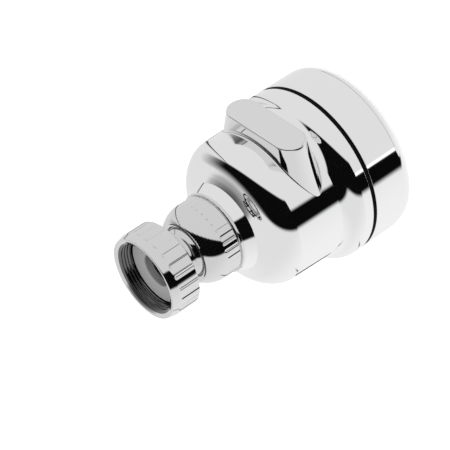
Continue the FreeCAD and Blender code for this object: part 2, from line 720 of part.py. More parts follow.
def make_port_seal():
    body = new_body("port_seal")
    floor = CUP_FACE + S.slide_clearance
    sketch = new_sketch(body, "port_seal_outline", "XY_Plane", floor)
    draw_circle(sketch, 0, -S.port_circle, S.port_pocket_radius - S.fit_clearance)
    draw_circle(sketch, 0, -S.port_circle, S.port_seal_hole)
    extrude(body, "port_seal_ring", sketch, S.port_seal_height, "PartDesign::Pad")
    top = floor + S.port_seal_height
    make_spring("port_spring", 0, -S.port_circle, S.port_pocket_radius, top,
                PLATE_FACE + S.port_pocket_depth, S.spring_wire, S.spring_turns)


def make_detent():
    ball = DOC.addObject("Part::Sphere", "detent_ball")
    ball.Label = "detent_ball"
    bind(ball, "Radius", S.detent_ball_radius)
    bind(ball, "Placement.Base.x", -DETENT_CIRCLE)
    bind(ball, "Placement.Base.z", DETENT_BALL)
    PARTS.append(ball)
    make_spring("detent_spring", -DETENT_CIRCLE, 0, S.detent_ball_radius,
                DETENT_BALL + S.detent_ball_radius, PLATE_FACE + S.detent_hole_depth,
                S.detent_wire, S.detent_turns)


def make_spring(label, right, back, hole, floor, roof, wire, turns):
    """A coil spring that fills a hole between the heights floor and roof."""
    radius = hole - wire - S.spring_gap
    travel = roof - floor - (wire + S.spring_gap) * 2
    helix = DOC.addObject("Part::Helix", label + "_line")
    bind(helix, "Radius", radius)
    bind(helix, "Height", travel)
    bind(helix, "Pitch", travel / turns)
    section = DOC.addObject("Part::Circle", label + "_section")
    section.Placement.Rotation = FreeCAD.Rotation(FreeCAD.Vector(1, 0, 0), 90)
    bind(section, "Radius", wire)
    bind(section, "Placement.Base.x", radius)
    spring = DOC.addObject("Part::Sweep", label)
    spring.Label = label
    spring.Sections = [section]
    spring.Spine = (helix, ["Edge1"])
    spring.Solid = True
    spring.Frenet = True
    bind(spring, "Placement.Base.x", right)
    bind(spring, "Placement.Base.y", back)
    bind(spring, "Placement.Base.z", floor + wire + S.spring_gap)
    PARTS.append(spring)


def make_pivot():
    """The screw that the cup turns on, and the washer under its head."""
    washer_top = CUP_CEILING - S.cup_hub_height
    head_top = washer_top - S.pivot_washer_thickness
    head_floor = head_top - S.pivot_head_height
    shank_top = PLATE_FACE + S.pivot_hold
    body = new_body("pivot_screw")
    turn_outline(body, "screw", [
        (0, head_floor),
        (S.pivot_head_radius, head_floor),
        (S.pivot_head_radius, head_top),
        (S.pivot_radius, head_top),
        (S.pivot_radius, shank_top),
        (0, shank_top),
    ])
    sketch = new_sketch(body, "slot_outline", "XY_Plane", head_floor - CUT_OVER)
    side = S.pivot_head_radius + CUT_OVER
    edge = S.pivot_slot_width * HALF
    draw(sketch, [(-side, -edge), (side, -edge), (side, edge), (-side, edge)])
    extrude(body, "slot", sketch, S.pivot_slot_depth + CUT_OVER, reverse=True)
    washer = new_body("pivot_washer")
    turn_outline(washer, "washer", [
        (S.pivot_radius + S.fit_clearance, head_top),
        (S.pivot_washer_radius, head_top),
        (S.pivot_washer_radius, washer_top),
        (S.pivot_radius + S.fit_clearance, washer_top),
    ])


def make_selector_cup():
    """The turning half of the valve: a cup with a tube for the stream and room for the spray."""
    body = new_body("selector_cup")
    bore = S.pivot_radius + S.pivot_clearance
    flange = RING_BORE - S.screw_clearance
    flange_top = CUP_FOOT + S.cup_flange_height
    hub_foot = CUP_CEILING - S.cup_hub_height
    turn_outline(body, "cup", [
        (bore, hub_foot),
        (S.cup_hub_radius, hub_foot),
        (S.cup_hub_radius, CUP_CEILING),
        (TUBE_BORE, CUP_CEILING),
        (TUBE_BORE, CUP_FOOT),
        (S.centre_tube_radius, CUP_FOOT),
        (S.centre_tube_radius, CUP_CEILING),
        (CUP - S.cup_wall, CUP_CEILING),
        (CUP - S.cup_wall, CUP_FOOT),
        (flange, CUP_FOOT),
        (flange, flange_top),
        (CUP, flange_top),
        (CUP, CUP_FACE),
        (bore, CUP_FACE),
    ])
    seal_radius = BELL_BORE - S.fit_clearance - S.cup_seal_section
    seal_height = CUP_FACE - S.cup_seal_drop
    ring_groove(body, "seal_groove", seal_radius, seal_height, S.cup_seal_section + S.seal_pocket)
    make_seal_ring("cup_seal", seal_radius, seal_height, S.cup_seal_section)
    ball_room = S.detent_ball_radius + S.detent_clearance
    ring_groove(body, "detent_track", DETENT_CIRCLE, DETENT_BALL, ball_room)
    track_floor = CUP_FACE - S.detent_track_depth
    notch = round_pocket(body, "notch", 0, DETENT_CIRCLE, S.notch_radius,
                         track_floor - S.notch_depth, S.notch_depth + S.detent_track_depth)
    pattern(body, "notches", notch, S.mode_count, mode_range())
    through = S.cup_top + CUT_OVER * 2
    below = CUP_CEILING - CUT_OVER
    round_pocket(body, "stream_port", 0, -S.port_circle, S.stream_port_radius, below, through)
    round_pocket(body, "spray_port", -S.spray_port_circle, 0, S.spray_port_radius, below, through)
    sketch = new_sketch(body, "channel_outline", "XY_Plane", CUP_FACE - S.channel_depth)
    inner = S.port_circle - S.stream_port_radius
    outer = S.spray_port_circle + S.spray_port_radius
    side = S.channel_width * HALF
    draw(sketch, [(-outer, -side), (-inner, -side), (-inner, side), (-outer, side)])
    extrude(body, "channel", sketch, S.channel_depth + CUT_OVER, reverse=True)
    DOC.recompute()
    start = -mode_range() * HALF
    lug = new_sketch(body, "stop_lug_outline", "XY_Plane", CUP_FACE)
    draw_circle(lug, along(STOP_CIRCLE, start), across(STOP_CIRCLE, start), S.stop_radius)
    extrude(body, "stop_lug", lug, S.stop_height, "PartDesign::Pad")


def make_front_ring():
    body = new_body("front_ring")
    inner_lip = RING_LIP + S.ring_edge_round
    turn_outline(body, "ring", [
        (RING_LIP, S.ring_edge_round),
        (inner_lip, 0),
        (S.ring_radius - S.ring_rounding, 0, S.ring_rounding),
        (S.ring_radius, S.ring_rounding),
        (S.ring_radius, S.ring_height - S.ring_edge_round, S.ring_edge_round),
        (S.ring_radius - S.ring_edge_round, S.ring_height),
        (RING_BORE, S.ring_height),
        (RING_BORE, S.ring_lip_height),
        (RING_LIP, S.ring_lip_height),
    ])


def make_slip_ring():
    body = new_body("slip_ring")
    top = FOOT - S.slip_clearance
    turn_outline(body, "slip", [
        (RING_BORE, S.ring_height),
        (S.ring_radius - S.slip_recess, S.ring_height),
        (S.ring_radius - S.slip_recess, top),
        (RING_BORE, top),
    ])


def row_radius(row):
    return FIRST_ROW + ROW_STEP * row


def row_count(row):
    return S.first_row_count + S.row_count_step * row


def make_spray_plate():
    body = new_body("spray_plate")
    rim = RING_BORE - S.screw_clearance
    turn_outline(body, "plate", [
        (TUBE_BORE, S.ring_lip_height),
        (rim, S.ring_lip_height),
        (rim, MAT_FLOOR),
        (TUBE_BORE, MAT_FLOOR),
    ])
    for row in range(int(S.nozzle_rows.value)):
        name = "nozzle_hole_%d" % (row + 1)
        hole = round_pocket(body, name, row_radius(row), 0, S.nozzle_root_radius + S.nozzle_gap,
                            S.ring_lip_height - CUT_OVER, S.plate_front + CUT_OVER * 2)
        pattern(body, name + "_row", hole, row_count(row))


def make_nozzle_mat():
    body = new_body("nozzle_mat")
    turn_outline(body, "mat", [
        (TUBE_BORE, MAT_FLOOR),
        (MAT, MAT_FLOOR),
        (MAT, CUP_FOOT),
        (TUBE_BORE, CUP_FOOT),
    ])
    for row in range(int(S.nozzle_rows.value)):
        name = "nozzle_%d" % (row + 1)
        centre = row_radius(row)
        tip = MAT_FLOOR - S.nozzle_reach
        sketch = draw(new_sketch(body, name + "_outline"), [
            (centre, tip),
            (centre + S.nozzle_tip_radius, tip),
            (centre + S.nozzle_root_radius, MAT_FLOOR),
            (centre, MAT_FLOOR),
        ])
        add_upright_axis(sketch, centre)
        nozzle = turn_sketch(body, name, sketch, "PartDesign::Revolution", "Axis0")
        pattern(body, name + "_row", nozzle, row_count(row))


def make_aerator():
    """The stream insert: housing, outlet grid, mixing insert and flow regulator, stacked."""
    lip_top = S.aerator_foot + S.aerator_lip_height
    body = new_body("aerator_housing")
    turn_outline(body, "housing", [
        (AERATOR_BORE - S.aerator_lip, S.aerator_foot),
        (AERATOR, S.aerator_foot),
        (AERATOR, S.aerator_top),
        (AERATOR_BORE, S.aerator_top),
        (AERATOR_BORE, lip_top),
        (AERATOR_BORE - S.aerator_lip, lip_top),
    ])
    fitted = AERATOR_BORE - S.fit_clearance
    grid = new_body("outlet_grid")
    grid_top = lip_top + S.grid_thickness
    turn_outline(grid, "disc", [(0, lip_top), (fitted, lip_top), (fitted, grid_top), (0, grid_top)])
    below = lip_top - CUT_OVER
    through = S.grid_thickness + CUT_OVER * 2
    grid_step = (fitted - S.grid_rim) / S.grid_rows
    grid_hole = (grid_step - S.grid_web) * HALF
    round_pocket(grid, "middle_hole", 0, 0, grid_hole, below, through)
    for row in range(1, int(S.grid_rows.value) + 1):
        name = "grid_hole_%d" % row
        hole = round_pocket(grid, name, 0, grid_step * row, grid_hole, below, through)
        pattern(grid, name + "_row", hole, S.grid_first_count * row)
    insert = new_body("mixing_insert")
    insert_top = grid_top + S.insert_height
    ceiling = insert_top - S.insert_top
    turn_outline(insert, "insert", [
        (0, ceiling),
        (fitted - S.insert_wall, ceiling),
        (fitted - S.insert_wall, grid_top),
        (fitted, grid_top),
        (fitted, insert_top),
        (0, insert_top),
    ])
    jet = round_pocket(insert, "jet", 0, S.insert_jet_circle, S.insert_jet_radius,
                       ceiling - CUT_OVER, S.insert_top + CUT_OVER * 2)
    pattern(insert, "jets", jet, S.insert_jet_count)
    regulator = new_body("flow_regulator")
    regulator_top = insert_top + S.regulator_thickness
    turn_outline(regulator, "disc", [
        (S.regulator_hole, insert_top),
        (fitted, insert_top),
        (fitted, regulator_top),
        (S.regulator_hole, regulator_top),
    ])


def build():
    make_union_nut()
    make_ball_stem()
    make_sealing_washer()
    make_ball_seat()
    make_socket_collar()
    make_bell_housing()
    make_port_plate()
    make_port_seal()
    make_detent()
    make_pivot()
    make_selector_cup()
    make_front_ring()
    make_slip_ring()
    make_spray_plate()
    make_nozzle_mat()
    make_aerator()
    DOC.recompute()


def check():
    for item in DOC.Objects:
        bad = {"Invalid", "Error"} & set(item.State)
        if bad:
            raise RuntimeError("%s: %s" % (item.Label, sorted(bad)))
    for part in PARTS:
        if part.Shape.isNull() or not part.Shape.isValid():
            raise RuntimeError("%s has no valid shape" % part.Label)


def write():
    os.makedirs("parts", exist_ok=True)
    for part in PARTS:
        part.Shape.exportStep("parts/%s.step" % part.Label)
        box = part.Shape.BoundBox
        print("%-16s %9.1f mm3  z %6.2f to %6.2f  r %5.2f  solids %d" % (
            part.Label, part.Shape.Volume, box.ZMin, box.ZMax, box.XMax, len(part.Shape.Solids)))


build()
check()
write()
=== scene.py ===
"""Dresses the swivel faucet aerator for its picture.

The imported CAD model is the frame. Each class below builds one sub-assembly of the head around it,
from the union nut that takes the tap thread down to the front ring, and gives it its finish. Lengths
are in millimetres until a mesh is made. Heights are measured from the lower or upper face of the CAD
node that a piece stands for, apart from those of the ball, which are measured from the front rim.
"""

import json
import logging
import math
from dataclasses import dataclass, field
from enum import Enum

import bpy
import numpy as np
from mathutils import Matrix, Vector


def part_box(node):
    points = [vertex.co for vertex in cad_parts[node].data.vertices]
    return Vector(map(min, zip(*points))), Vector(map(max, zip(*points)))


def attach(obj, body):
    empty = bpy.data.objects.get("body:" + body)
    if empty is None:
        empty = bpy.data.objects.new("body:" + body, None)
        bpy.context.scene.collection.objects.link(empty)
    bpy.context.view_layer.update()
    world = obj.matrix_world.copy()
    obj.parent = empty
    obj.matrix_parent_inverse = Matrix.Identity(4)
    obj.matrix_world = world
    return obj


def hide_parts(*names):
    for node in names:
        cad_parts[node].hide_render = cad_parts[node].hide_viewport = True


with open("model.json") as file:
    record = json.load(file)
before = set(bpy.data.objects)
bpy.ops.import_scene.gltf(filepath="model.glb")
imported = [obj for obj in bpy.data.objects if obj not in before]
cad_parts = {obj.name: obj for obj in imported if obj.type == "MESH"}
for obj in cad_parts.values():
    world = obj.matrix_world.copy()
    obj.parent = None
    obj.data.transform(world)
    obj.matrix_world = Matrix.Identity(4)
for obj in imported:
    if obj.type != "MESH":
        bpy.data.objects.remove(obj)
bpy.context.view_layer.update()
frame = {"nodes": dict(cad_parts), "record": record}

MM = 0.001
log = logging.getLogger("aerator")

Colour = tuple[float, float, float]
Outline = list[tuple[float, float]]
Socket = bpy.types.NodeSocket
Tree = bpy.types.NodeTree
Piece = bpy.types.Object
Material = bpy.types.Material

# The middle of the ball, above the front rim.
BALL_UP = 60.0
# The largest share of a straight that one rounding takes.
SIDE_SHARE = 0.45
# Degrees to one facet of a rounding, and the least turn that is rounded.
ROUNDING_STEP = 15.0
SHARP = 14.0
# How often a search for a place halves its range.
HALVINGS = 40
# The distance from the skin, in millimetres, at which a point counts as on it.
TOUCHING = 1e-4
# Half of one turn of the thread.
HALF_PITCH = 0.5


class Body(Enum):
    """The bodies that the joints move."""

    NUT = "union_nut"
    STEM = "ball_stem"
    BELL = "bell"
    FRONT = "front"


# Nodes.


def connect(tree: Tree, node: bpy.types.Node, inputs: dict) -> None:
    """Fills the inputs of a node.

    Args:
        tree: the node tree.
        node: the node.
        inputs: what its inputs get, each a socket or a value, by name or number.
    """
    for key, value in inputs.items():
        if isinstance(value, Socket):
            tree.links.new(value, node.inputs[key])
        else:
            node.inputs[key].default_value = value


def add_node(tree: Tree, kind: str, inputs: dict | None = None, **settings: str) -> bpy.types.Node:
    """Adds a node to a tree.

    Args:
        tree: the node tree.
        kind: the node's type.
        inputs: what its inputs get, each a socket or a value, by name or number.
        settings: the node's own settings.

    Returns:
        The node.
    """
    node = tree.nodes.new(kind)
    for name, value in settings.items():
        setattr(node, name, value)
    connect(tree, node, inputs or {})
    return node


def new_object(name: str, data: bpy.types.ID) -> Piece:
    """Makes an object and puts it in the scene.

    Args:
        name: the object's name.
        data: its mesh, camera or lamp.

    Returns:
        The object, at the origin.
    """
    made = bpy.data.objects.new(name, data)
    bpy.context.scene.collection.objects.link(made)
    return made


def grey(level: float) -> Colour:
    """Returns a neutral colour."""
    return (level, level, level)


def opaque(colour: Colour) -> tuple[float, float, float, float]:
    """Returns a colour that nothing shows through."""
    return (*colour, 1.0)


def mixed(tree: Tree, factor: Socket, first: object, second: object) -> Socket:
    """Mixes two colours, each a socket or an opaque colour."""
    inputs = {"Factor": factor, "A": first, "B": second}
    return add_node(tree, "ShaderNodeMix", inputs, data_type="RGBA").outputs["Result"]


# Finishes.

# Grains of the haze on chrome to a metre, and the octaves of the two noises.
HAZE_GRAIN = 90.0
HAZE_DETAIL = 2.0
MOULD_DETAIL = 3.0
# The range in which a noise has nearly all of its values.
NOISE_LOW, NOISE_HIGH = 0.3, 0.7
# How deep a moulding's grain is, in millimetres.
GRAIN_DEPTH = 0.05


def new_material(name: str) -> tuple[Material, Tree, bpy.types.Node]:
    """Makes a material that holds nothing but its shader.

    Args:
        name: the finish's name.

    Returns:
        The material, its node tree and its Principled shader.
    """
    material = bpy.data.materials.new(name)
    material.use_nodes = True
    tree = material.node_tree
    return material, tree, tree.nodes["Principled BSDF"]


def grain(tree: Tree, scale: float, detail: float) -> Socket:
    """Adds a noise that stays fixed to the piece.

    Args:
        tree: the material's node tree.
        scale: grains to a metre.
        detail: octaves of the noise.

    Returns:
        The socket with the noise's value.
    """
    place = add_node(tree, "ShaderNodeTexCoord")
    noise = add_node(tree, "ShaderNodeTexNoise", {
        "Scale": scale, "Detail": detail, "Vector": place.outputs["Object"]})
    return noise.outputs["Fac"]


def within(tree: Tree, radius: float) -> Socket:
    """Adds the nodes that tell whether a point lies near the spray axis.

    Args:
        tree: the material's node tree.
        radius: the distance from the axis, in millimetres.

    Returns:
        A socket that is 1 nearer than the radius and 0 past it.
    """
    place = add_node(tree, "ShaderNodeTexCoord")
    flat = add_node(tree, "ShaderNodeVectorMath", {0: place.outputs["Object"], 1: (1.0, 1.0, 0.0)},
                    operation="MULTIPLY")
    length = add_node(tree, "ShaderNodeVectorMath", {0: flat.outputs["Vector"]}, operation="LENGTH")
    near = add_node(tree, "ShaderNodeMath", {0: length.outputs["Value"], 1: radius * MM},
                    operation="LESS_THAN")
    return near.outputs[0]


@dataclass(frozen=True)
class Plating:
    """Bright chrome plate over plastic or brass, with painted shade in a bore: the colour turns darker
    within the bore's radius.
    """

    name: str
    tint: Colour
    roughness: float
    haze: float = 0.02
    # Painted shade: within this radius of the spray axis the colour turns to the shade colour below.
    bore: float = 0.0
    painted_bore_shade: Colour = (0.0, 0.0, 0.0)

    def make(self) -> Material:
        """Writes the plating's shader.

        Returns:
            The plating as a material.
        """
        material, tree, shader = new_material(self.name)
        noise = grain(tree, HAZE_GRAIN, HAZE_DETAIL)
        tint = opaque(self.tint)
        haze = add_node(tree, "ShaderNodeMapRange", {
            "From Min": NOISE_LOW, "From Max": NOISE_HIGH, "To Min": self.roughness,
            "To Max": self.roughness + self.haze, "Value": noise})
        connect(tree, shader, {"Base Color": tint, "Metallic": 1.0, "Roughness": haze.outputs["Result"]})
        # Painted shade: points inside the bore radius get the darker shade colour.
        if self.bore:
            colour = mixed(tree, within(tree, self.bore), tint, opaque(self.painted_bore_shade))
            connect(tree, shader, {"Base Color": colour})
        return material


@dataclass(frozen=True)
class Moulding:
    """A plain moulded plastic or rubber."""

    name: str
    light: Colour
    dark: Colour
    roughness: float
    grain_size: float = 0.6
    relief: float = 0.1
    specular: float = 0.5

    def make(self) -> Material:
        """Writes the moulding's shader.

        Returns:
            The moulding as a material.
        """
        material, tree, shader = new_material(self.name)
        noise = grain(tree, 1.0 / (self.grain_size * MM), MOULD_DETAIL)
        bump = add_node(tree, "ShaderNodeBump", {
            "Strength": self.relief, "Distance": GRAIN_DEPTH * MM, "Height": noise})
        connect(tree, shader, {
            "Base Color": mixed(tree, noise, opaque(self.dark), opaque(self.light)),
            "Normal": bump.outputs["Normal"], "Roughness": self.roughness,
            "Specular IOR Level": self.specular})
        return material


CHROME = Plating("chrome_plate", (0.93, 0.93, 0.935), 0.02)
# Painted shade darkens the nut's threaded bore.
NUT_CHROME = Plating(
    "nut_chrome", (0.78, 0.78, 0.785), 0.04, bore=11.3, painted_bore_shade=(0.17, 0.17, 0.172))
COLLAR_CHROME = Plating("collar_chrome", (0.77, 0.77, 0.775), 0.04)
TAB_CHROME = Plating("tab_chrome", (0.83, 0.83, 0.835), 0.02)
# Painted shade makes the stem's bore nearly black.
STEM_CHROME = Plating("polished_stem", (0.74, 0.74, 0.75), 0.06, bore=4.9, painted_bore_shade=grey(0.03))
STEEL = Plating("stainless_steel", (0.56, 0.57, 0.58), 0.22, 0.12)
GREY_WASHER = Moulding("grey_washer", grey(0.30), grey(0.25), 0.62)
ACETAL = Moulding("white_acetal", (0.78, 0.78, 0.75), (0.72, 0.72, 0.70), 0.4)
BLACK_RUBBER = Moulding("black_rubber", grey(0.03), grey(0.018), 0.7)
BLACK_PLASTIC = Moulding("black_plastic", grey(0.004), grey(0.002), 0.6, specular=0.05)
SILICONE = Moulding("grey_silicone", (0.40, 0.42, 0.44), (0.35, 0.37, 0.39), 0.55)
FINISHES = (CHROME, NUT_CHROME, COLLAR_CHROME, TAB_CHROME, STEM_CHROME, STEEL, GREY_WASHER, ACETAL,
            BLACK_RUBBER, BLACK_PLASTIC, SILICONE)


# Outlines.


@dataclass(frozen=True)
class Stop:
    """A corner of an outline, in millimetres, and the arc that leaves it.

    The bend is the radius of the arc to the next stop, positive where it turns left and 0 where the
    way is straight.
    """

    out: float
    up: float
    bend: float = 0.0


def arc(start: Stop, end: Stop, step: float = 4.0) -> Outline:
    """Points on the way from one stop to the next, without the last.

    Args:
        start: the stop that is left, with its bend.
        end: the stop that is reached.
        step: degrees between two points of an arc.

    Returns:
        The points, the start among them.
    """
    if not start.bend:
        return [(start.out, start.up)]
    across, along = end.out - start.out, end.up - start.up
    chord = math.hypot(across, along)
    side = math.copysign(1.0, start.bend)
    reach = max(start.bend ** 2 - chord ** 2 / 4.0, 0.0) ** 0.5
    centre_out = (start.out + end.out) / 2.0 - side * along / chord * reach
    centre_up = (start.up + end.up) / 2.0 + side * across / chord * reach
    begin = math.atan2(start.up - centre_up, start.out - centre_out)
    sweep = side * 2.0 * math.asin(min(chord / 2.0 / abs(start.bend), 1.0))
    count = max(3, round(abs(math.degrees(sweep)) / step))
    radius = abs(start.bend)
    return [
        (centre_out + radius * math.cos(begin + sweep * i / count),
         centre_up + radius * math.sin(begin + sweep * i / count))
        for i in range(count)
    ]


def trace(stops: list[Stop], ease: float) -> Outline:
    """Draws a closed outline through its stops and rounds its sharp corners.

    Args:
        stops: the corners, in turn to the left.
        ease: how far from a sharp corner its rounding starts.

    Returns:
        The points of the closed outline, without a repeat of the first.
    """
    points: Outline = []
    for index, stop in enumerate(stops):
        points += arc(stop, stops[(index + 1) % len(stops)])
    return soften(points, ease)


def soften(points: Outline, ease: float) -> Outline:
    """Rounds the sharp corners of a closed outline.

    Args:
        points: the outline.
        ease: how far from a corner its rounding starts.

    Returns:
        The new outline.
    """
    result: Outline = []
    for index, here in enumerate(points):
        corner = np.array(here)
        before = np.array(points[index - 1]) - corner
        after = np.array(points[(index + 1) % len(points)]) - corner
        room_before, room_after = np.linalg.norm(before), np.linalg.norm(after)
        cosine = float(np.clip(np.dot(before, after) / (room_before * room_after), -1.0, 1.0))
        turn = 180.0 - math.degrees(math.acos(cosine))
        if turn < SHARP:
            result.append(here)
            continue
        cut = min(ease, SIDE_SHARE * room_before, SIDE_SHARE * room_after)
        first = corner + before / room_before * cut
        last = corner + after / room_after * cut
        parts = max(2, round(turn / ROUNDING_STEP))
        for share in np.arange(parts + 1) / parts:
            bent = (1 - share) ** 2 * first + 2 * share * (1 - share) * corner + share ** 2 * last
            result.append((float(bent[0]), float(bent[1])))
    return result


def refine(points: Outline, longest: float) -> Outline:
    """Splits the long straights of a closed outline.

    Args:
        points: the outline.
        longest: the longest piece that is left, in millimetres.

    Returns:
        The outline with more points.
    """
    result: Outline = []
    for index, here in enumerate(points):
        there = points[(index + 1) % len(points)]
        parts = max(1, math.ceil(math.dist(here, there) / longest))
        result += [
            (here[0] + (there[0] - here[0]) * i / parts, here[1] + (there[1] - here[1]) * i / parts)
            for i in range(parts)
        ]
    return result


def unit(rows: np.ndarray) -> np.ndarray:
    """Scales each row to a length of 1."""
    return rows / np.linalg.norm(rows, axis=1)[:, None]


def outline_normals(points: Outline) -> np.ndarray:
    """Finds which way a closed outline faces.

    Args:
        points: the outline, turning left.

    Returns:
        The outward direction at each point.
    """
    place = np.array(points)
    leaving = np.roll(place, -1, axis=0) - place
    facing = np.stack([leaving[:, 1], -leaving[:, 0]], axis=1)
    return unit(facing + np.roll(facing, 1, axis=0))


# Meshes.


def mesh_object(name: str, places: np.ndarray, faces: list,
                normals: np.ndarray | None = None) -> Piece:
    """Makes a smooth object from points in millimetres.

    Args:
        name: the object's name.
        places: one row to a point.
        faces: the corners of each face, as point numbers.
        normals: the surface's direction at each point, where it is known.

    Returns:
        The object, at the origin.
    """
    mesh = bpy.data.meshes.new(name)
    mesh.from_pydata((places * MM).tolist(), [], faces)
    mesh.update()
    mesh.shade_smooth()
    if normals is not None:
        mesh.normals_split_custom_set_from_vertices(normals.tolist())
    return new_object(name, mesh)


def grid_faces(rows: int, columns: int, closed: bool = True) -> list[tuple[int, int, int, int]]:
    """Joins the points of a grid whose columns run round.

    Args:
        rows: how many rings of points there are.
        columns: how many points a ring has.
        closed: whether the last ring joins the first.

    Returns:
        The faces, as point numbers.
    """
    last = rows if closed else rows - 1
    return [
        (i * columns + j, i * columns + (j + 1) % columns,
         (i + 1) % rows * columns + (j + 1) % columns, (i + 1) % rows * columns + j)
        for i in range(last) for j in range(columns)
    ]


def lathe(name: str, points: Outline, columns: int = 240, exact: bool = True) -> Piece:
    """Turns a closed outline round the spray axis.

    Args:
        name: the object's name.
        points: the outline, out from the axis and up, turning left.
        columns: steps round the axis.
        exact: whether the outline's own directions shade the surface.

    Returns:
        The turned piece.
    """
    turn = np.arange(columns) * 2.0 * math.pi / columns
    round_about = np.stack([np.cos(turn), np.sin(turn)], axis=1)
    section = np.array(points)

    def swept(rows: np.ndarray) -> np.ndarray:
        """Places each row of the section all round the axis."""
        level = np.repeat(rows[:, 1], columns)
        flat = (rows[:, 0][:, None, None] * round_about[None]).reshape(-1, 2)
        return np.column_stack([flat, level])

    normals = swept(outline_normals(points)) if exact else None
    return mesh_object(name, swept(section), grid_faces(len(points), columns), normals)


def wear(piece: Piece, finish: Material, slot: str, body: Body,
         *nodes: str) -> None:
    """Gives a piece its finish and hangs it on its body in place of CAD nodes.

    Args:
        piece: the finished piece.
        finish: its material.
        slot: the record's material slot; not used.
        body: the body that carries it.
        nodes: the CAD nodes that it stands for.
    """
    piece.data.materials.clear()
    piece.data.materials.append(finish)
    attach(piece, body.value)
    if nodes:
        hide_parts(*nodes)
    log.info("%s: %d faces on %s", piece.name, len(piece.data.polygons), body.value)


@dataclass
class Level:
    """The lower and upper face of a CAD node, and its largest radius, in millimetres."""

    node: str

    def __post_init__(self) -> None:
        """Reads the node's box."""
        low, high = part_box(self.node)
        self.low = low.z / MM
        self.high = high.z / MM
        self.outer = high.y / MM


def level_of(node: str) -> Level:
    """Returns a dataclass field that reads the level of a CAD node."""
    return field(default_factory=lambda: Level(node))


# Node trees.


class RuleTree:
    """A small Geometry Nodes tree that moves the points of a turned piece along their radius."""

    def __init__(self, name: str, sizes: dict[str, float]) -> None:
        """Opens a tree with named sizes, and reads the place of each point.

        Args:
            name: the tree's name.
            sizes: the named inputs, each a length in millimetres or a whole number.
        """
        self.tree = bpy.data.node_groups.new(name, "GeometryNodeTree")
        self.sizes = {key: value * MM if isinstance(value, float) else float(value)
                      for key, value in sizes.items()}
        face = self.tree.interface
        face.new_socket("Geometry", in_out="INPUT", socket_type="NodeSocketGeometry")
        for size in sizes:
            face.new_socket(size, in_out="INPUT", socket_type="NodeSocketFloat")
        face.new_socket("Finish", in_out="INPUT", socket_type="NodeSocketMaterial")
        face.new_socket("Geometry", in_out="OUTPUT", socket_type="NodeSocketGeometry")
        self.source = add_node(self.tree, "NodeGroupInput")
        position = add_node(self.tree, "GeometryNodeInputPosition")
        split = add_node(self.tree, "ShaderNodeSeparateXYZ", {0: position.outputs[0]})
        self.x, self.y, self.z = split.outputs
        self.radius = self.sum("SQRT", self.squares(self.x, self.y))
        self.turn = self.sum("ARCTAN2", self.y, self.x)

    def size(self, name: str) -> Socket:
        """Returns the socket of a named size."""
        return self.source.outputs[name]

    def sum(self, operation: str, *terms: Socket | float) -> Socket:
        """Adds a sum of sockets and plain numbers, and returns its result."""
        return add_node(self.tree, "ShaderNodeMath", dict(enumerate(terms)), operation=operation).outputs[0]

    def times(self, first: Socket, second: Socket | float) -> Socket:
        """Returns a product."""
        return self.sum("MULTIPLY", first, second)

    def less(self, first: Socket, second: Socket) -> Socket:
        """Returns a difference."""
        return self.sum("SUBTRACT", first, second)

    def squares(self, first: Socket, second: Socket) -> Socket:
        """Returns the sum of two squares."""
        return self.sum("ADD", self.times(first, first), self.times(second, second))

    def move_to(self, radius: Socket) -> None:
        """Moves each point to a radius, and ends the tree with the piece in its finish.

        Args:
            radius: the radius that a point gets.
        """
        factor = self.sum("DIVIDE", radius, self.radius)
        join = add_node(self.tree, "ShaderNodeCombineXYZ", {
            0: self.times(self.x, factor), 1: self.times(self.y, factor), 2: self.z})
        shift = add_node(self.tree, "GeometryNodeSetPosition", {
            "Geometry": self.size("Geometry"), "Position": join.outputs[0]})
        paint = add_node(self.tree, "GeometryNodeSetMaterial", {
            "Geometry": shift.outputs[0], "Material": self.size("Finish")})
        add_node(self.tree, "NodeGroupOutput", {0: paint.outputs[0]})

    def apply(self, piece: Piece, finish: Material) -> None:
        """Runs the tree on a piece and keeps the result as its plain mesh.

        Args:
            piece: the object that the tree works on.
            finish: the material that the tree sets.
        """
        modifier = piece.modifiers.new(self.tree.name, "NODES")
        modifier.node_group = self.tree
        for item in self.tree.interface.items_tree:
            if item.in_out == "INPUT" and item.name in self.sizes:
                modifier[item.identifier] = self.sizes[item.name]
            if item.in_out == "INPUT" and item.name == "Finish":
                modifier[item.identifier] = finish
        bpy.context.view_layer.update()
        shaped = piece.evaluated_get(bpy.context.evaluated_depsgraph_get())
        mesh = bpy.data.meshes.new_from_object(shaped)
        piece.modifiers.remove(modifier)
        piece.data = mesh


@dataclass(frozen=True)
class Flutes:
    """Upright grooves round a piece, each cut by a round cutter that ends in a dome."""

    count: int
    cutter: float
    centre: float
    end: float
    above: float = 0.0

    def tree(self) -> RuleTree:
        """Writes the rule that sinks the grooves into a turned piece.

        Returns:
            The finished tree.
        """
        rule = RuleTree("flutes", vars(self))
        cutter, centre = rule.size("cutter"), rule.size("centre")
        half = rule.sum("DIVIDE", math.pi, rule.size("count"))
        off = rule.sum("WRAP", rule.turn, half, rule.times(half, -1.0))
        aside = rule.times(centre, rule.sum("SINE", off))
        past = rule.sum("MAXIMUM", rule.less(rule.z, rule.size("end")), 0.0)
        reach = rule.less(rule.times(cutter, cutter), rule.squares(aside, past))
        half_chord = rule.sum("SQRT", rule.sum("MAXIMUM", reach, 0.0))
        cut = rule.less(rule.times(centre, rule.sum("COSINE", off)), half_chord)
        miss = rule.sum("LESS_THAN", reach, 0.0)
        low = rule.sum("LESS_THAN", rule.z, rule.size("above"))
        wall = rule.sum("ADD", cut, rule.sum("ADD", miss, low))
        rule.move_to(rule.sum("MINIMUM", rule.radius, wall))
        return rule


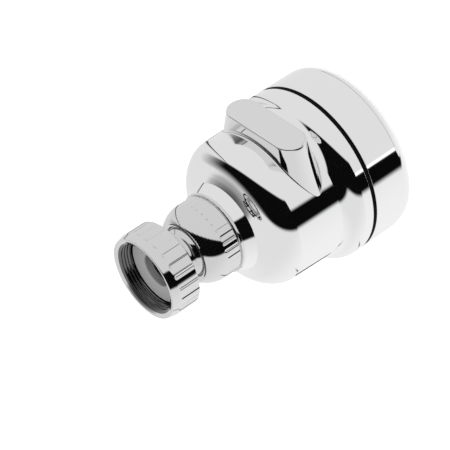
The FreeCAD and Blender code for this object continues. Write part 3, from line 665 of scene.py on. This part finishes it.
@dataclass(frozen=True)
class TapThread:
    """The ridges of the tap thread inside the nut."""

    crest: float
    depth: float
    pitch: float
    low: float
    high: float
    near: float = 0.1

    def tree(self) -> RuleTree:
        """Writes the rule that cuts the thread into the nut's inner wall.

        Returns:
            The finished tree.
        """
        rule = RuleTree("tap_thread", vars(self))
        crest, near = rule.size("crest"), rule.size("near")
        phase = rule.less(rule.sum("DIVIDE", rule.z, rule.size("pitch")),
                         rule.sum("DIVIDE", rule.turn, 2.0 * math.pi))
        ridge = rule.times(rule.sum("PINGPONG", phase, HALF_PITCH), 1.0 / HALF_PITCH)
        groove = rule.times(ridge, rule.size("depth"))
        ends = rule.times(rule.sum("GREATER_THAN", rule.z, rule.size("low")),
                        rule.sum("LESS_THAN", rule.z, rule.size("high")))
        inside = rule.sum("LESS_THAN", rule.radius, rule.sum("ADD", crest, near))
        wall = rule.sum("GREATER_THAN", rule.radius, rule.less(crest, near))
        there = rule.times(ends, rule.times(inside, wall))
        rule.move_to(rule.sum("ADD", rule.radius, rule.times(there, groove)))
        return rule


# The head's pieces.


@dataclass
class UnionNut:
    """The fluted nut that screws onto the tap, with the thread in its mouth."""

    hole: float = 7.0
    rear: float = 10.6
    rear_slope: float = 1.6
    wall: float = 13.3
    mouth: float = 12.7
    mouth_length: float = 2.3
    entry: float = 12.1
    entry_depth: float = 1.0
    crest: float = 10.46
    relief: float = 10.9
    relief_top: float = 4.6
    relief_short: float = 0.2
    back_wall: float = 2.0
    flute_count: int = 24
    flute_cutter: float = 0.85
    flute_depth: float = 0.3
    columns_to_flute: int = 16
    thread_depth: float = 0.54
    thread_pitch: float = 1.0
    level: Level = level_of("union_nut")

    def outline(self) -> Outline:
        """Draws the nut's section.

        Returns:
            The closed outline, with close points where the flutes and the thread go.
        """
        low, high = self.level.low, self.level.high
        back = low + self.back_wall
        relief_up = back + self.relief_top - self.relief_short
        section = trace([
            Stop(self.hole, low), Stop(self.rear, low), Stop(self.wall, low + self.rear_slope),
            Stop(self.wall, high - self.mouth_length), Stop(self.mouth, high),
            Stop(self.entry, high), Stop(self.crest, high - self.entry_depth),
            Stop(self.crest, relief_up), Stop(self.relief, relief_up),
            Stop(self.relief, back), Stop(self.hole, back)], ease=0.18)
        return refine(section, longest=0.16)

    def dress(self, finish: Material) -> None:
        """Builds the nut and hangs it on its body.

        Args:
            finish: its plating.
        """
        nut = lathe("union_nut_plated", self.outline(),
                    columns=self.flute_count * self.columns_to_flute, exact=False)
        high = self.level.high
        Flutes(
            self.flute_count, self.flute_cutter,
            centre=self.wall - self.flute_depth + self.flute_cutter,
            end=high - self.mouth_length - self.flute_cutter).tree().apply(nut, finish)
        TapThread(
            self.crest, self.thread_depth, self.thread_pitch,
            low=self.level.low + self.relief_top + self.back_wall,
            high=high - self.entry_depth).tree().apply(nut, finish)
        wear(nut, finish, "chrome_plate", Body.NUT, "union_nut")


@dataclass
class BallStem:
    """The polished ball, its neck and the flange that the nut pulls on."""

    ball: float = 8.6
    ball_up: float = BALL_UP
    neck: float = 6.6
    flange: float = 9.8
    flange_thickness: float = 1.5
    bore: float = 4.5
    mouth: float = 5.2
    washer: float = 10.1
    washer_hole: float = 5.0
    washer_lip: float = 0.6
    level: Level = level_of("ball_stem")
    washer_level: Level = level_of("sealing_washer")

    def dress(self, polished: Material, grey_rubber: Material) -> None:
        """Builds the stem and its sealing washer.

        Args:
            polished: the stem's finish.
            grey_rubber: the washer's finish.
        """
        high = self.level.high
        flange_low = high - self.flange_thickness
        mouth_up = self.ball_up - math.sqrt(self.ball ** 2 - self.mouth ** 2)
        neck_up = self.ball_up + math.sqrt(self.ball ** 2 - self.neck ** 2)
        stem = trace([
            Stop(self.mouth, mouth_up, self.ball), Stop(self.neck, neck_up),
            Stop(self.neck, flange_low), Stop(self.flange, flange_low),
            Stop(self.flange, high), Stop(self.bore, high),
            Stop(self.bore, mouth_up + self.mouth - self.bore)], ease=0.3)
        wear(lathe("ball_stem_polished", stem), polished, "polished_stem", Body.STEM, "ball_stem")
        low, top = self.washer_level.low, self.washer_level.high
        washer = trace([
            Stop(self.washer_hole, low), Stop(self.washer, low), Stop(self.washer, top),
            Stop(self.washer_hole + self.washer_lip, top, self.washer_lip),
            Stop(self.washer_hole, top - self.washer_lip)], ease=0.25)
        wear(lathe("sealing_washer_grey", washer), grey_rubber, "grey_washer", Body.STEM, "sealing_washer")


@dataclass
class SocketCollar:
    """The knurled collar that holds the ball in the bell's neck."""

    ball_up: float = BALL_UP
    socket: float = 8.7
    bore: float = 10.4
    flange: float = 12.75
    flange_height: float = 0.8
    step: float = 11.9
    step_height: float = 0.4
    band: float = 12.3
    band_height: float = 4.9
    dome: float = 9.2
    lip: float = 9.6
    lip_rise: float = 4.2
    lip_rounding: float = 1.1
    mouth_rise: float = 3.4
    thread_top: float = 4.5
    groove_count: int = 36
    groove_cutter: float = 0.42
    groove_depth: float = 0.16
    groove_start: float = 0.1
    columns_to_groove: int = 10
    level: Level = level_of("socket_collar")

    def outline(self) -> Outline:
        """Draws the collar's section.

        Returns:
            The closed outline, with close points where the grooves go.
        """
        low = self.level.low
        step_up = low + self.flange_height
        band_up = step_up + self.step_height
        mouth = math.sqrt(self.socket ** 2 - self.mouth_rise ** 2)
        section = trace([
            Stop(self.bore, low), Stop(self.flange, low), Stop(self.flange, step_up),
            Stop(self.step, step_up), Stop(self.band, band_up),
            Stop(self.band, band_up + self.band_height, self.dome),
            Stop(self.lip, self.ball_up + self.lip_rise, self.lip_rounding),
            Stop(mouth, self.ball_up + self.mouth_rise, -self.socket), Stop(self.socket, self.ball_up),
            Stop(self.socket, low + self.thread_top), Stop(self.bore, low + self.thread_top)], ease=0.12)
        return refine(section, longest=0.3)

    def dress(self, finish: Material) -> None:
        """Builds the collar and hangs it on the bell.

        Args:
            finish: its plating.
        """
        collar = lathe("socket_collar_plated", self.outline(),
                       columns=self.groove_count * self.columns_to_groove, exact=False)
        step_up = self.level.low + self.flange_height
        Flutes(
            self.groove_count, self.groove_cutter,
            centre=self.band - self.groove_depth + self.groove_cutter,
            end=step_up + self.step_height + self.band_height - self.groove_cutter,
            above=step_up + self.groove_start).tree().apply(collar, finish)
        wear(collar, finish, "chrome_plate", Body.BELL, "socket_collar")


@dataclass
class BellHousing:
    """The bell: flared foot, straight barrel, shoulder and neck, hollow inside."""

    foot: float = 27.36
    rim: float = 27.39
    rim_up: float = 3.2
    waist: float = 23.82
    waist_up: float = 8.95
    flare: float = 6.1
    barrel: float = 23.42
    barrel_up: float = 24.9
    shoulder: float = 18.5
    shoulder_up: float = 30.95
    shoulder_round: float = 9.5
    throat: float = 14.2
    throat_up: float = 33.1
    throat_round: float = 31.0
    seat: float = 12.7
    seat_up: float = 36.55
    neck: float = 10.3
    neck_rise: float = 4.4
    mouth: float = 25.2
    mouth_up: float = 4.0
    bore: float = 21.8
    bore_up: float = 7.0
    ledge_up: float = 24.15
    chamber: float = 19.8
    chamber_rise: float = 4.0
    chamber_inner: float = 9.0
    chamber_peak: float = 9.6
    inlet: float = 5.6
    seat_bore: float = 9.1
    seat_floor_up: float = 36.03
    level: Level = level_of("bell_housing")

    def outer_stops(self) -> list[Stop]:
        """Draws the outside, from the foot to the top of the neck.

        Returns:
            Its stops, in turn.
        """
        low = self.level.low
        flare_out = (self.rim + self.waist) / 2.0
        flare_up = (self.rim_up + self.waist_up) / 2.0
        return [
            Stop(self.foot, low), Stop(self.rim, low + self.rim_up, self.flare),
            Stop(flare_out, low + flare_up, -self.flare), Stop(self.waist, low + self.waist_up),
            Stop(self.barrel, low + self.barrel_up, self.shoulder_round),
            Stop(self.shoulder, low + self.shoulder_up, -self.throat_round),
            Stop(self.throat, low + self.throat_up), Stop(self.seat, low + self.seat_up),
            Stop(self.neck, low + self.seat_up), Stop(self.neck, low + self.seat_up + self.neck_rise)]

    def inner_stops(self) -> list[Stop]:
        """Draws the hollow, from the seat bore down to the mouth.

        Returns:
            Its stops, in turn.
        """
        low = self.level.low
        ledge, seat_floor = low + self.ledge_up, low + self.seat_floor_up
        return [
            Stop(self.seat_bore, low + self.seat_up + self.neck_rise), Stop(self.seat_bore, seat_floor),
            Stop(self.inlet, seat_floor), Stop(self.inlet, ledge + self.chamber_peak),
            Stop(self.chamber_inner, ledge + self.chamber_peak),
            Stop(self.chamber, ledge + self.chamber_rise), Stop(self.chamber, ledge),
            Stop(self.bore, ledge), Stop(self.bore, low + self.bore_up),
            Stop(self.mouth, low + self.mouth_up), Stop(self.mouth, low)]

    def skin(self) -> Outline:
        """Draws the outside alone.

        Returns:
            Its open outline, as close points.
        """
        stops = self.outer_stops()
        points: Outline = []
        for here, there in zip(stops, stops[1:]):
            points += arc(here, there, step=2.0)
        return points + [(stops[-1].out, stops[-1].up)]

    def dress(self, finish: Material, tab_finish: Material) -> None:
        """Builds the bell with its finger tab and hangs both on the body.

        Args:
            finish: the bell's plating.
            tab_finish: the tab's plating.
        """
        section = refine(trace(self.outer_stops() + self.inner_stops(), ease=0.07), longest=0.8)
        bell = lathe("bell_housing_plated", section, columns=288)
        wear(bell, finish, "chrome_plate", Body.BELL, "bell_housing")
        wear(FingerTab(self.skin()).build(), tab_finish, "chrome_plate", Body.BELL)


@dataclass
class FingerTab:
    """The rounded block that a finger turns, filleted into the bell's skin.

    Its flat and its root are two bars with round ends, and straight walls run between them.
    """

    skin: Outline
    reach: float = 27.5
    half_length: float = 14.0
    low: float = 26.2
    high: float = 36.2
    root_reach: float = 10.0
    root_half_length: float = 20.0
    root_low: float = 24.4
    root_high: float = 35.8
    root_lean: float = -1.2
    flat_shares: tuple[float, float] = (0.35, 0.7)
    edge: float = 0.5
    edge_steps: int = 6
    wall_start: float = 0.06
    wall_rings: int = 14
    hollow: float = 0.12
    fillet: float = 0.7
    fillet_steps: int = 8
    sunk: float = 0.5
    around: int = 384

    def bar(self, reach: float, half: float, low: float, high: float, lean: float) -> np.ndarray:
        """Draws a bar with round ends, square to the X axis.

        Args:
            reach: how far it stands off the spray axis.
            half: half its length.
            low: the height of its lower side.
            high: the height of its upper side.
            lean: how far its middle lies along Y.

        Returns:
            The points of its outline, in X, Y and Z.
        """
        end, middle = (high - low) / 2.0, (low + high) / 2.0
        straight = half - end
        half_way_round = 2.0 * straight + math.pi * end
        way = np.arange(self.around) * 2.0 * half_way_round / self.around
        side = np.where(way < half_way_round, 1.0, -1.0)
        way = way % half_way_round
        turn = (way - 2.0 * straight) / end - math.pi / 2.0
        on_straight = way < 2.0 * straight
        along = np.where(on_straight, way - straight, straight + end * np.cos(turn))
        rise = np.where(on_straight, -end, end * np.sin(turn))
        return np.column_stack([np.full(self.around, reach), lean + side * along, middle + side * rise])

    def clear_of_skin(self, places: np.ndarray) -> tuple[np.ndarray, np.ndarray]:
        """How far points stand off the bell's skin, and which way the skin faces there.

        Args:
            places: points in X, Y and Z.

        Returns:
            The distances, positive outside, and the directions away from the skin.
        """
        line = np.array(self.skin)
        start, step = line[:-1], line[1:] - line[:-1]
        radius = np.hypot(places[:, 0], places[:, 1])
        offset = np.stack([radius, places[:, 2]], axis=1)[:, None] - start[None]
        share = np.clip((offset * step[None]).sum(2) / (step ** 2).sum(1)[None], 0.0, 1.0)
        gap = offset - share[..., None] * step[None]
        size = np.linalg.norm(gap, axis=2)
        near, rows = size.argmin(1), np.arange(len(places))
        gap, size = gap[rows, near], size[rows, near]
        facing = unit(np.stack([step[near, 1], -step[near, 0]], axis=1))
        side = np.sign((gap * facing).sum(1))
        off_skin = gap / np.maximum(size, TOUCHING)[:, None] * side[:, None]
        away = np.where(size[:, None] > TOUCHING, off_skin, facing)
        direction = np.column_stack([
            away[:, 0] * places[:, 0] / radius, away[:, 0] * places[:, 1] / radius, away[:, 1]])
        return size * side, direction

    def fillet_centres(self, tip: np.ndarray, wall: np.ndarray, facing: np.ndarray) -> np.ndarray:
        """Finds where the fillet's arcs have their centres.

        Args:
            tip: the outline of the flat.
            wall: the ways from the flat's outline to the root's.
            facing: the directions away from the walls.

        Returns:
            Places one fillet away from both the wall and the skin.
        """
        inward = unit(wall)
        low, high = np.zeros(self.around), np.linalg.norm(wall, axis=1)
        for _ in range(HALVINGS):
            half = (low + high) / 2.0
            centre = tip + inward * half[:, None] + facing * self.fillet
            outside = self.clear_of_skin(centre)[0] > self.fillet
            low, high = np.where(outside, half, low), np.where(outside, high, half)
        return tip + inward * low[:, None] + facing * self.fillet

    def build(self) -> Piece:
        """Builds the block, from the middle of its flat to its foot in the bell.

        Returns:
            The block as one closed mesh that sinks a little into the bell.
        """
        tip = self.bar(self.reach, self.half_length, self.low, self.high, 0.0)
        root = self.bar(
            self.root_reach, self.root_half_length, self.root_low, self.root_high, self.root_lean)
        middle, flat = tip.mean(axis=0), np.array([1.0, 0.0, 0.0])
        inward = unit(root - tip)
        facing = unit(np.cross(np.roll(tip, -1, axis=0) - np.roll(tip, 1, axis=0), -inward))
        facing *= np.sign(((tip - middle) * facing).sum(1))[:, None]
        centre = self.fillet_centres(tip, root - tip, facing)
        away = self.clear_of_skin(centre)[1]
        start, foot = tip + inward * self.edge, centre - facing * self.fillet
        wall_facing = unit(facing - flat * self.hollow)
        bands = [(middle + (tip - facing * self.edge - middle) * share, np.tile(flat, (self.around, 1)))
                 for share in self.flat_shares]
        for turn in np.linspace(0.0, math.pi / 2.0, self.edge_steps + 1):
            aim = facing * math.sin(turn) + flat * math.cos(turn)
            bands.append((start - facing * self.edge + aim * self.edge, aim))
        for share in np.linspace(self.wall_start, 1.0, self.wall_rings):
            bands.append((start + (foot - start) * share, wall_facing))
        for share in np.arange(1, self.fillet_steps + 1) / self.fillet_steps:
            blend = unit(-facing * (1.0 - share) - away * share)
            bands.append((centre + blend * self.fillet, -blend))
        bands.append((centre - away * (self.fillet + self.sunk), away))
        return self.close(bands, middle, flat)

    def close(self, bands: list[tuple[np.ndarray, np.ndarray]], middle: np.ndarray,
              flat: np.ndarray) -> Piece:
        """Joins rings of points into one mesh and closes both ends with a fan.

        Args:
            bands: the rings and the directions that shade them, from the flat inwards.
            middle: the middle of the flat.
            flat: the direction that the flat faces.

        Returns:
            The closed piece.
        """
        rings, normals = zip(*bands)
        places = np.concatenate([*rings, middle[None], rings[-1].mean(axis=0)[None]])
        shading = np.concatenate([*normals, flat[None], -flat[None]])
        faces: list[tuple[int, ...]] = [
            (a, d, c, b) for a, b, c, d in grid_faces(len(rings), self.around, closed=False)]
        hub = len(rings) * self.around
        last = hub - self.around
        for j in range(self.around):
            after = (j + 1) % self.around
            faces += [(hub, j, after), (hub + 1, last + after, last + j)]
        return mesh_object("finger_tab_plated", places, faces, shading)


@dataclass
class FrontRing:
    """The plain chromed ring that turns to choose the jet, and the black slip ring over it."""

    lip: float = 23.2
    bore: float = 24.4
    edge: float = 0.1
    rounding: float = 3.0
    lip_height: float = 2.4
    level: Level = level_of("front_ring")
    slip: Level = level_of("slip_ring")

    def dress(self, chrome: Material, black: Material) -> None:
        """Builds both rings and hangs them on the front.

        Args:
            chrome: the front ring's finish.
            black: the slip ring's finish.
        """
        low, high, outer = self.level.low, self.level.high, self.level.outer
        lip_up = low + self.lip_height
        ring = trace([
            Stop(self.lip, low), Stop(outer - self.rounding, low, self.rounding),
            Stop(outer, low + self.rounding), Stop(outer, high - self.edge, self.edge),
            Stop(outer - self.edge, high), Stop(self.bore, high), Stop(self.bore, lip_up),
            Stop(self.lip, lip_up)], ease=0.3)
        wear(lathe("front_ring_plated", ring, columns=320), chrome, "chrome_plate", Body.FRONT,
             "front_ring")
        slip = trace([
            Stop(self.bore, self.slip.low), Stop(self.slip.outer, self.slip.low),
            Stop(self.slip.outer, self.slip.high), Stop(self.bore, self.slip.high)], ease=0.06)
        wear(lathe("slip_ring_black", slip), black, "black_plastic", Body.FRONT, "slip_ring")


# CAD nodes that stay.


@dataclass
class CarriedNodes:
    """The CAD pieces that are shown as they are, each in its own finish."""

    finishes: dict[str, Material]

    def dress(self, skipped: set[str]) -> None:
        """Gives every other CAD node its finish.

        Args:
            skipped: the nodes that a dressed piece stands for.
        """
        slots = {part["node"]: part["material_slot"] for part in frame["record"]["subparts"]}
        for name, node in frame["nodes"].items():
            if name in skipped:
                continue
            for index in range(len(node.data.materials)):
                node.data.materials[index] = self.finishes[slots[name]]
            log.info("%s: CAD node in %s", name, slots[name])


# Studio.


@dataclass(frozen=True)
class Edge:
    """A straight edge between two fields of what the metal mirrors.

    A direction lies past the edge where its share of up, back (towards the camera) and right, each
    times the edge's own number, adds up to more than the height.
    """

    up: float
    back: float
    right: float
    height: float
    softness: float = 0.02


@dataclass(frozen=True)
class Card:
    """A field of one grey that lies past all of its edges."""

    level: float
    edges: tuple[Edge, ...]


WHITE_TABLE = Card(0.935, (Edge(-0.74, -0.31, 0.68, 0.67, 0.51),))
DARK_ROOM = Card(0.003, (
    Edge(0.86, 0.02, -0.02, -0.13, 0.052), Edge(1.21, -0.11, 0.76, -0.855, 0.30),
    Edge(-1.09, 0.635, -0.175, -0.265, 0.052), Edge(-1.04, 0.52, -1.94, -1.944, 0.013),
    Edge(0.08, 0.89, 0.0, -0.326, 0.365)))
LEFT_SEAM = Card(0.06, (
    Edge(1.0, 0.0, 1.03, -0.60, 0.012), Edge(-1.0, 0.0, -1.03, 0.56, 0.012),
    Edge(0.0, -1.0, 0.0, 0.0, 0.2)))
RIM_LINE = Card(0.30, (
    Edge(0.075, -0.67, 0.74, 0.60, 0.01), Edge(-0.075, 0.67, -0.74, -0.66, 0.01),
    Edge(1.0, 0.0, 0.0, 0.2, 0.05)))
LAMP_STRIP = Card(1.25, (
    Edge(1.0, 0.0, 0.0, 0.215, 0.012), Edge(-1.0, 0.0, 0.0, -0.265, 0.012), Edge(0.0, 0.0, 1.0, 0.90, 0.01),
    Edge(0.0, -1.0, 0.0, -0.29, 0.01), Edge(0.0, 1.0, 0.0, 0.19, 0.01)))
CARDS = (WHITE_TABLE, DARK_ROOM, LEFT_SEAM, RIM_LINE, LAMP_STRIP)


@dataclass(frozen=True)
class Lamp:
    """A soft round lamp that only the matt pieces and the floor feel, in metres and watts."""

    name: str
    place: tuple[float, float, float]
    size: float
    power: float

    def hang(self) -> None:
        """Hangs the lamp and turns it to the head."""
        data = bpy.data.lights.new(self.name, "AREA")
        data.shape = "DISK"
        data.size = self.size
        data.energy = self.power
        lamp = new_object(self.name, data)
        lamp.location = self.place
        lamp.rotation_euler = (LAMP_AIM - Vector(self.place)).to_track_quat("-Z", "Y").to_euler()
        lamp.visible_glossy = False
        lamp.visible_camera = False


LAMP_AIM = Vector((0.0, 0.0, 0.03))
LAMPS = (Lamp("overhead", (0.08, -0.12, 0.60), 0.5, 2.2), Lamp("window", (0.45, -0.25, 0.30), 0.4, 0.8))


@dataclass
class Studio:
    """White floor and surroundings, a dark room behind the camera, soft lamps and the camera.

    The camera shows nothing nearer than its nearest distance, which is in metres.
    """

    distance: float = 462.6
    azimuth: float = -40.0
    elevation: float = 27.8
    roll: float = 123.26
    aim: tuple[float, float, float] = (-3.19, 2.88, 46.14)
    lens: float = 128.0
    film: float = 36.0
    nearest: float = 0.01
    tilt: float = 39.7
    softbox: float = 0.785
    fill: float = 0.62
    floor_half: float = 2000.0
    floor_drop: float = 0.02
    floor_grey: float = 0.86
    floor_glow: float = 0.42

    def axes(self) -> tuple[Vector, Vector, Vector, Vector]:
        """Works out how the camera stands.

        Returns:
            Its place, and its right, up and forward directions.
        """
        turn, rise = math.radians(self.azimuth), math.radians(self.elevation)
        outward = Vector((math.cos(rise) * math.cos(turn), math.cos(rise) * math.sin(turn), math.sin(rise)))
        forward = -outward
        level = forward.cross(Vector((0.0, 0.0, 1.0))).normalized()
        upright = level.cross(forward)
        swing = math.radians(self.roll)
        up = upright * math.cos(swing) + level * math.sin(swing)
        place = Vector(self.aim) * MM + outward * self.distance * MM
        return place, forward.cross(up), up, forward

    def make_camera(self) -> None:
        """Puts the camera where the photograph was taken from."""
        place, right, up, forward = self.axes()
        data = bpy.data.cameras.new("camera")
        data.lens = self.lens
        data.sensor_width = self.film
        data.sensor_fit = "HORIZONTAL"
        data.clip_start = self.nearest
        camera = new_object("camera", data)
        camera.matrix_world = Matrix((
            (right.x, up.x, -forward.x, place.x), (right.y, up.y, -forward.y, place.y),
            (right.z, up.z, -forward.z, place.z), (0.0, 0.0, 0.0, 1.0)))
        bpy.context.scene.camera = camera

    def studio_axes(self) -> tuple[Vector, Vector, Vector]:
        """Works out how the studio stands.

        Returns:
            Its up, back (towards the camera) and right directions.
        """
        _, right, up, forward = self.axes()
        lean = math.radians(self.tilt)
        above = up * math.cos(lean) - forward * math.sin(lean)
        back = (-forward - above * (-forward).dot(above)).normalized()
        return above, back, right

    def card_mask(self, tree: Tree, card: Card) -> Socket:
        """Adds the nodes that tell whether a direction meets a card.

        Args:
            tree: the world's node tree.
            card: the card.

        Returns:
            A socket that is 1 on the card and 0 off it.
        """
        above, back, right = self.studio_axes()
        way = add_node(tree, "ShaderNodeTexCoord").outputs["Generated"]
        mask: Socket | float = 1.0
        for edge in card.edges:
            aim = above * edge.up + back * edge.back + right * edge.right
            dot = add_node(tree, "ShaderNodeVectorMath", {0: way, 1: aim}, operation="DOT_PRODUCT")
            past = add_node(tree, "ShaderNodeMapRange", {
                "From Min": edge.height - edge.softness, "From Max": edge.height + edge.softness,
                "Value": dot.outputs["Value"]}, interpolation_type="SMOOTHSTEP")
            both = {0: mask, 1: past.outputs["Result"]}
            mask = add_node(tree, "ShaderNodeMath", both, operation="MULTIPLY").outputs[0]
        return mask

    def make_world(self) -> None:
        """Surrounds the head with white, and shows the metal the soft box and the cards."""
        world = bpy.data.worlds.new("studio")
        world.use_nodes = True
        bpy.context.scene.world = world
        tree = world.node_tree
        tree.nodes.clear()
        around: object = opaque(grey(self.softbox))
        for card in CARDS:
            around = mixed(tree, self.card_mask(tree, card), around, opaque(grey(card.level)))
        rays = add_node(tree, "ShaderNodeLightPath").outputs
        shown = mixed(tree, rays["Is Glossy Ray"], opaque(grey(self.fill)), around)
        shown = mixed(tree, rays["Is Transmission Ray"], shown, around)
        shown = mixed(tree, rays["Is Camera Ray"], shown, opaque(grey(1.0)))
        light = add_node(tree, "ShaderNodeBackground", {"Color": shown})
        add_node(tree, "ShaderNodeOutputWorld", {"Surface": light.outputs[0]})

    def make_floor(self) -> None:
        """Lays a pale floor that keeps the head's shadow and lets the metal see past it."""
        corners = np.array([(-1.0, -1.0, 0.0), (1.0, -1.0, 0.0), (1.0, 1.0, 0.0), (-1.0, 1.0, 0.0)])
        floor = mesh_object("floor", corners * self.floor_half, [(0, 1, 2, 3)])
        floor.location.z = -self.floor_drop * MM
        material, tree, _ = new_material("pale_floor")
        tree.nodes.clear()
        rays = add_node(tree, "ShaderNodeLightPath").outputs

        def shader(kind: str, **inputs: object) -> Socket:
            """Adds a shader and returns its output."""
            return add_node(tree, kind, inputs).outputs[0]

        def choose(ray: str, first: Socket, second: Socket) -> Socket:
            """Shows one kind of ray the second shader, and all others the first."""
            return add_node(tree, "ShaderNodeMixShader", {0: rays[ray], 1: first, 2: second}).outputs[0]

        matt = shader("ShaderNodeBsdfDiffuse", Color=opaque(grey(self.floor_grey)))
        glow = shader("ShaderNodeEmission", Color=opaque(grey(1.0)), Strength=self.floor_glow)
        lit = add_node(tree, "ShaderNodeAddShader", {0: matt, 1: glow}).outputs[0]
        seen = choose("Is Camera Ray", matt, lit)
        seen = choose("Is Glossy Ray", seen, shader("ShaderNodeBsdfTransparent"))
        add_node(tree, "ShaderNodeOutputMaterial", {"Surface": seen})
        floor.data.materials.append(material)

    def build(self) -> None:
        """Sets up the whole studio."""
        bpy.context.scene.view_settings.view_transform = "Standard"
        self.make_camera()
        self.make_world()
        self.make_floor()
        for lamp in LAMPS:
            lamp.hang()
        log.info("studio ready")


def main() -> None:
    """Builds the head from the nut down, dresses what stays of the CAD model and sets the studio."""
    logging.basicConfig(level=logging.INFO, format="%(name)s %(message)s")
    finishes = {finish.name: finish.make() for finish in FINISHES}
    chrome = finishes["chrome_plate"]
    UnionNut().dress(finishes["nut_chrome"])
    BallStem().dress(finishes["polished_stem"], finishes["grey_washer"])
    SocketCollar().dress(finishes["collar_chrome"])
    BellHousing().dress(chrome, finishes["tab_chrome"])
    FrontRing().dress(chrome, finishes["black_plastic"])
    CarriedNodes(finishes).dress({
        "union_nut", "ball_stem", "sealing_washer", "socket_collar", "bell_housing", "front_ring",
        "slip_ring"})
    Studio().build()


if __name__ == "__main__":
    main()
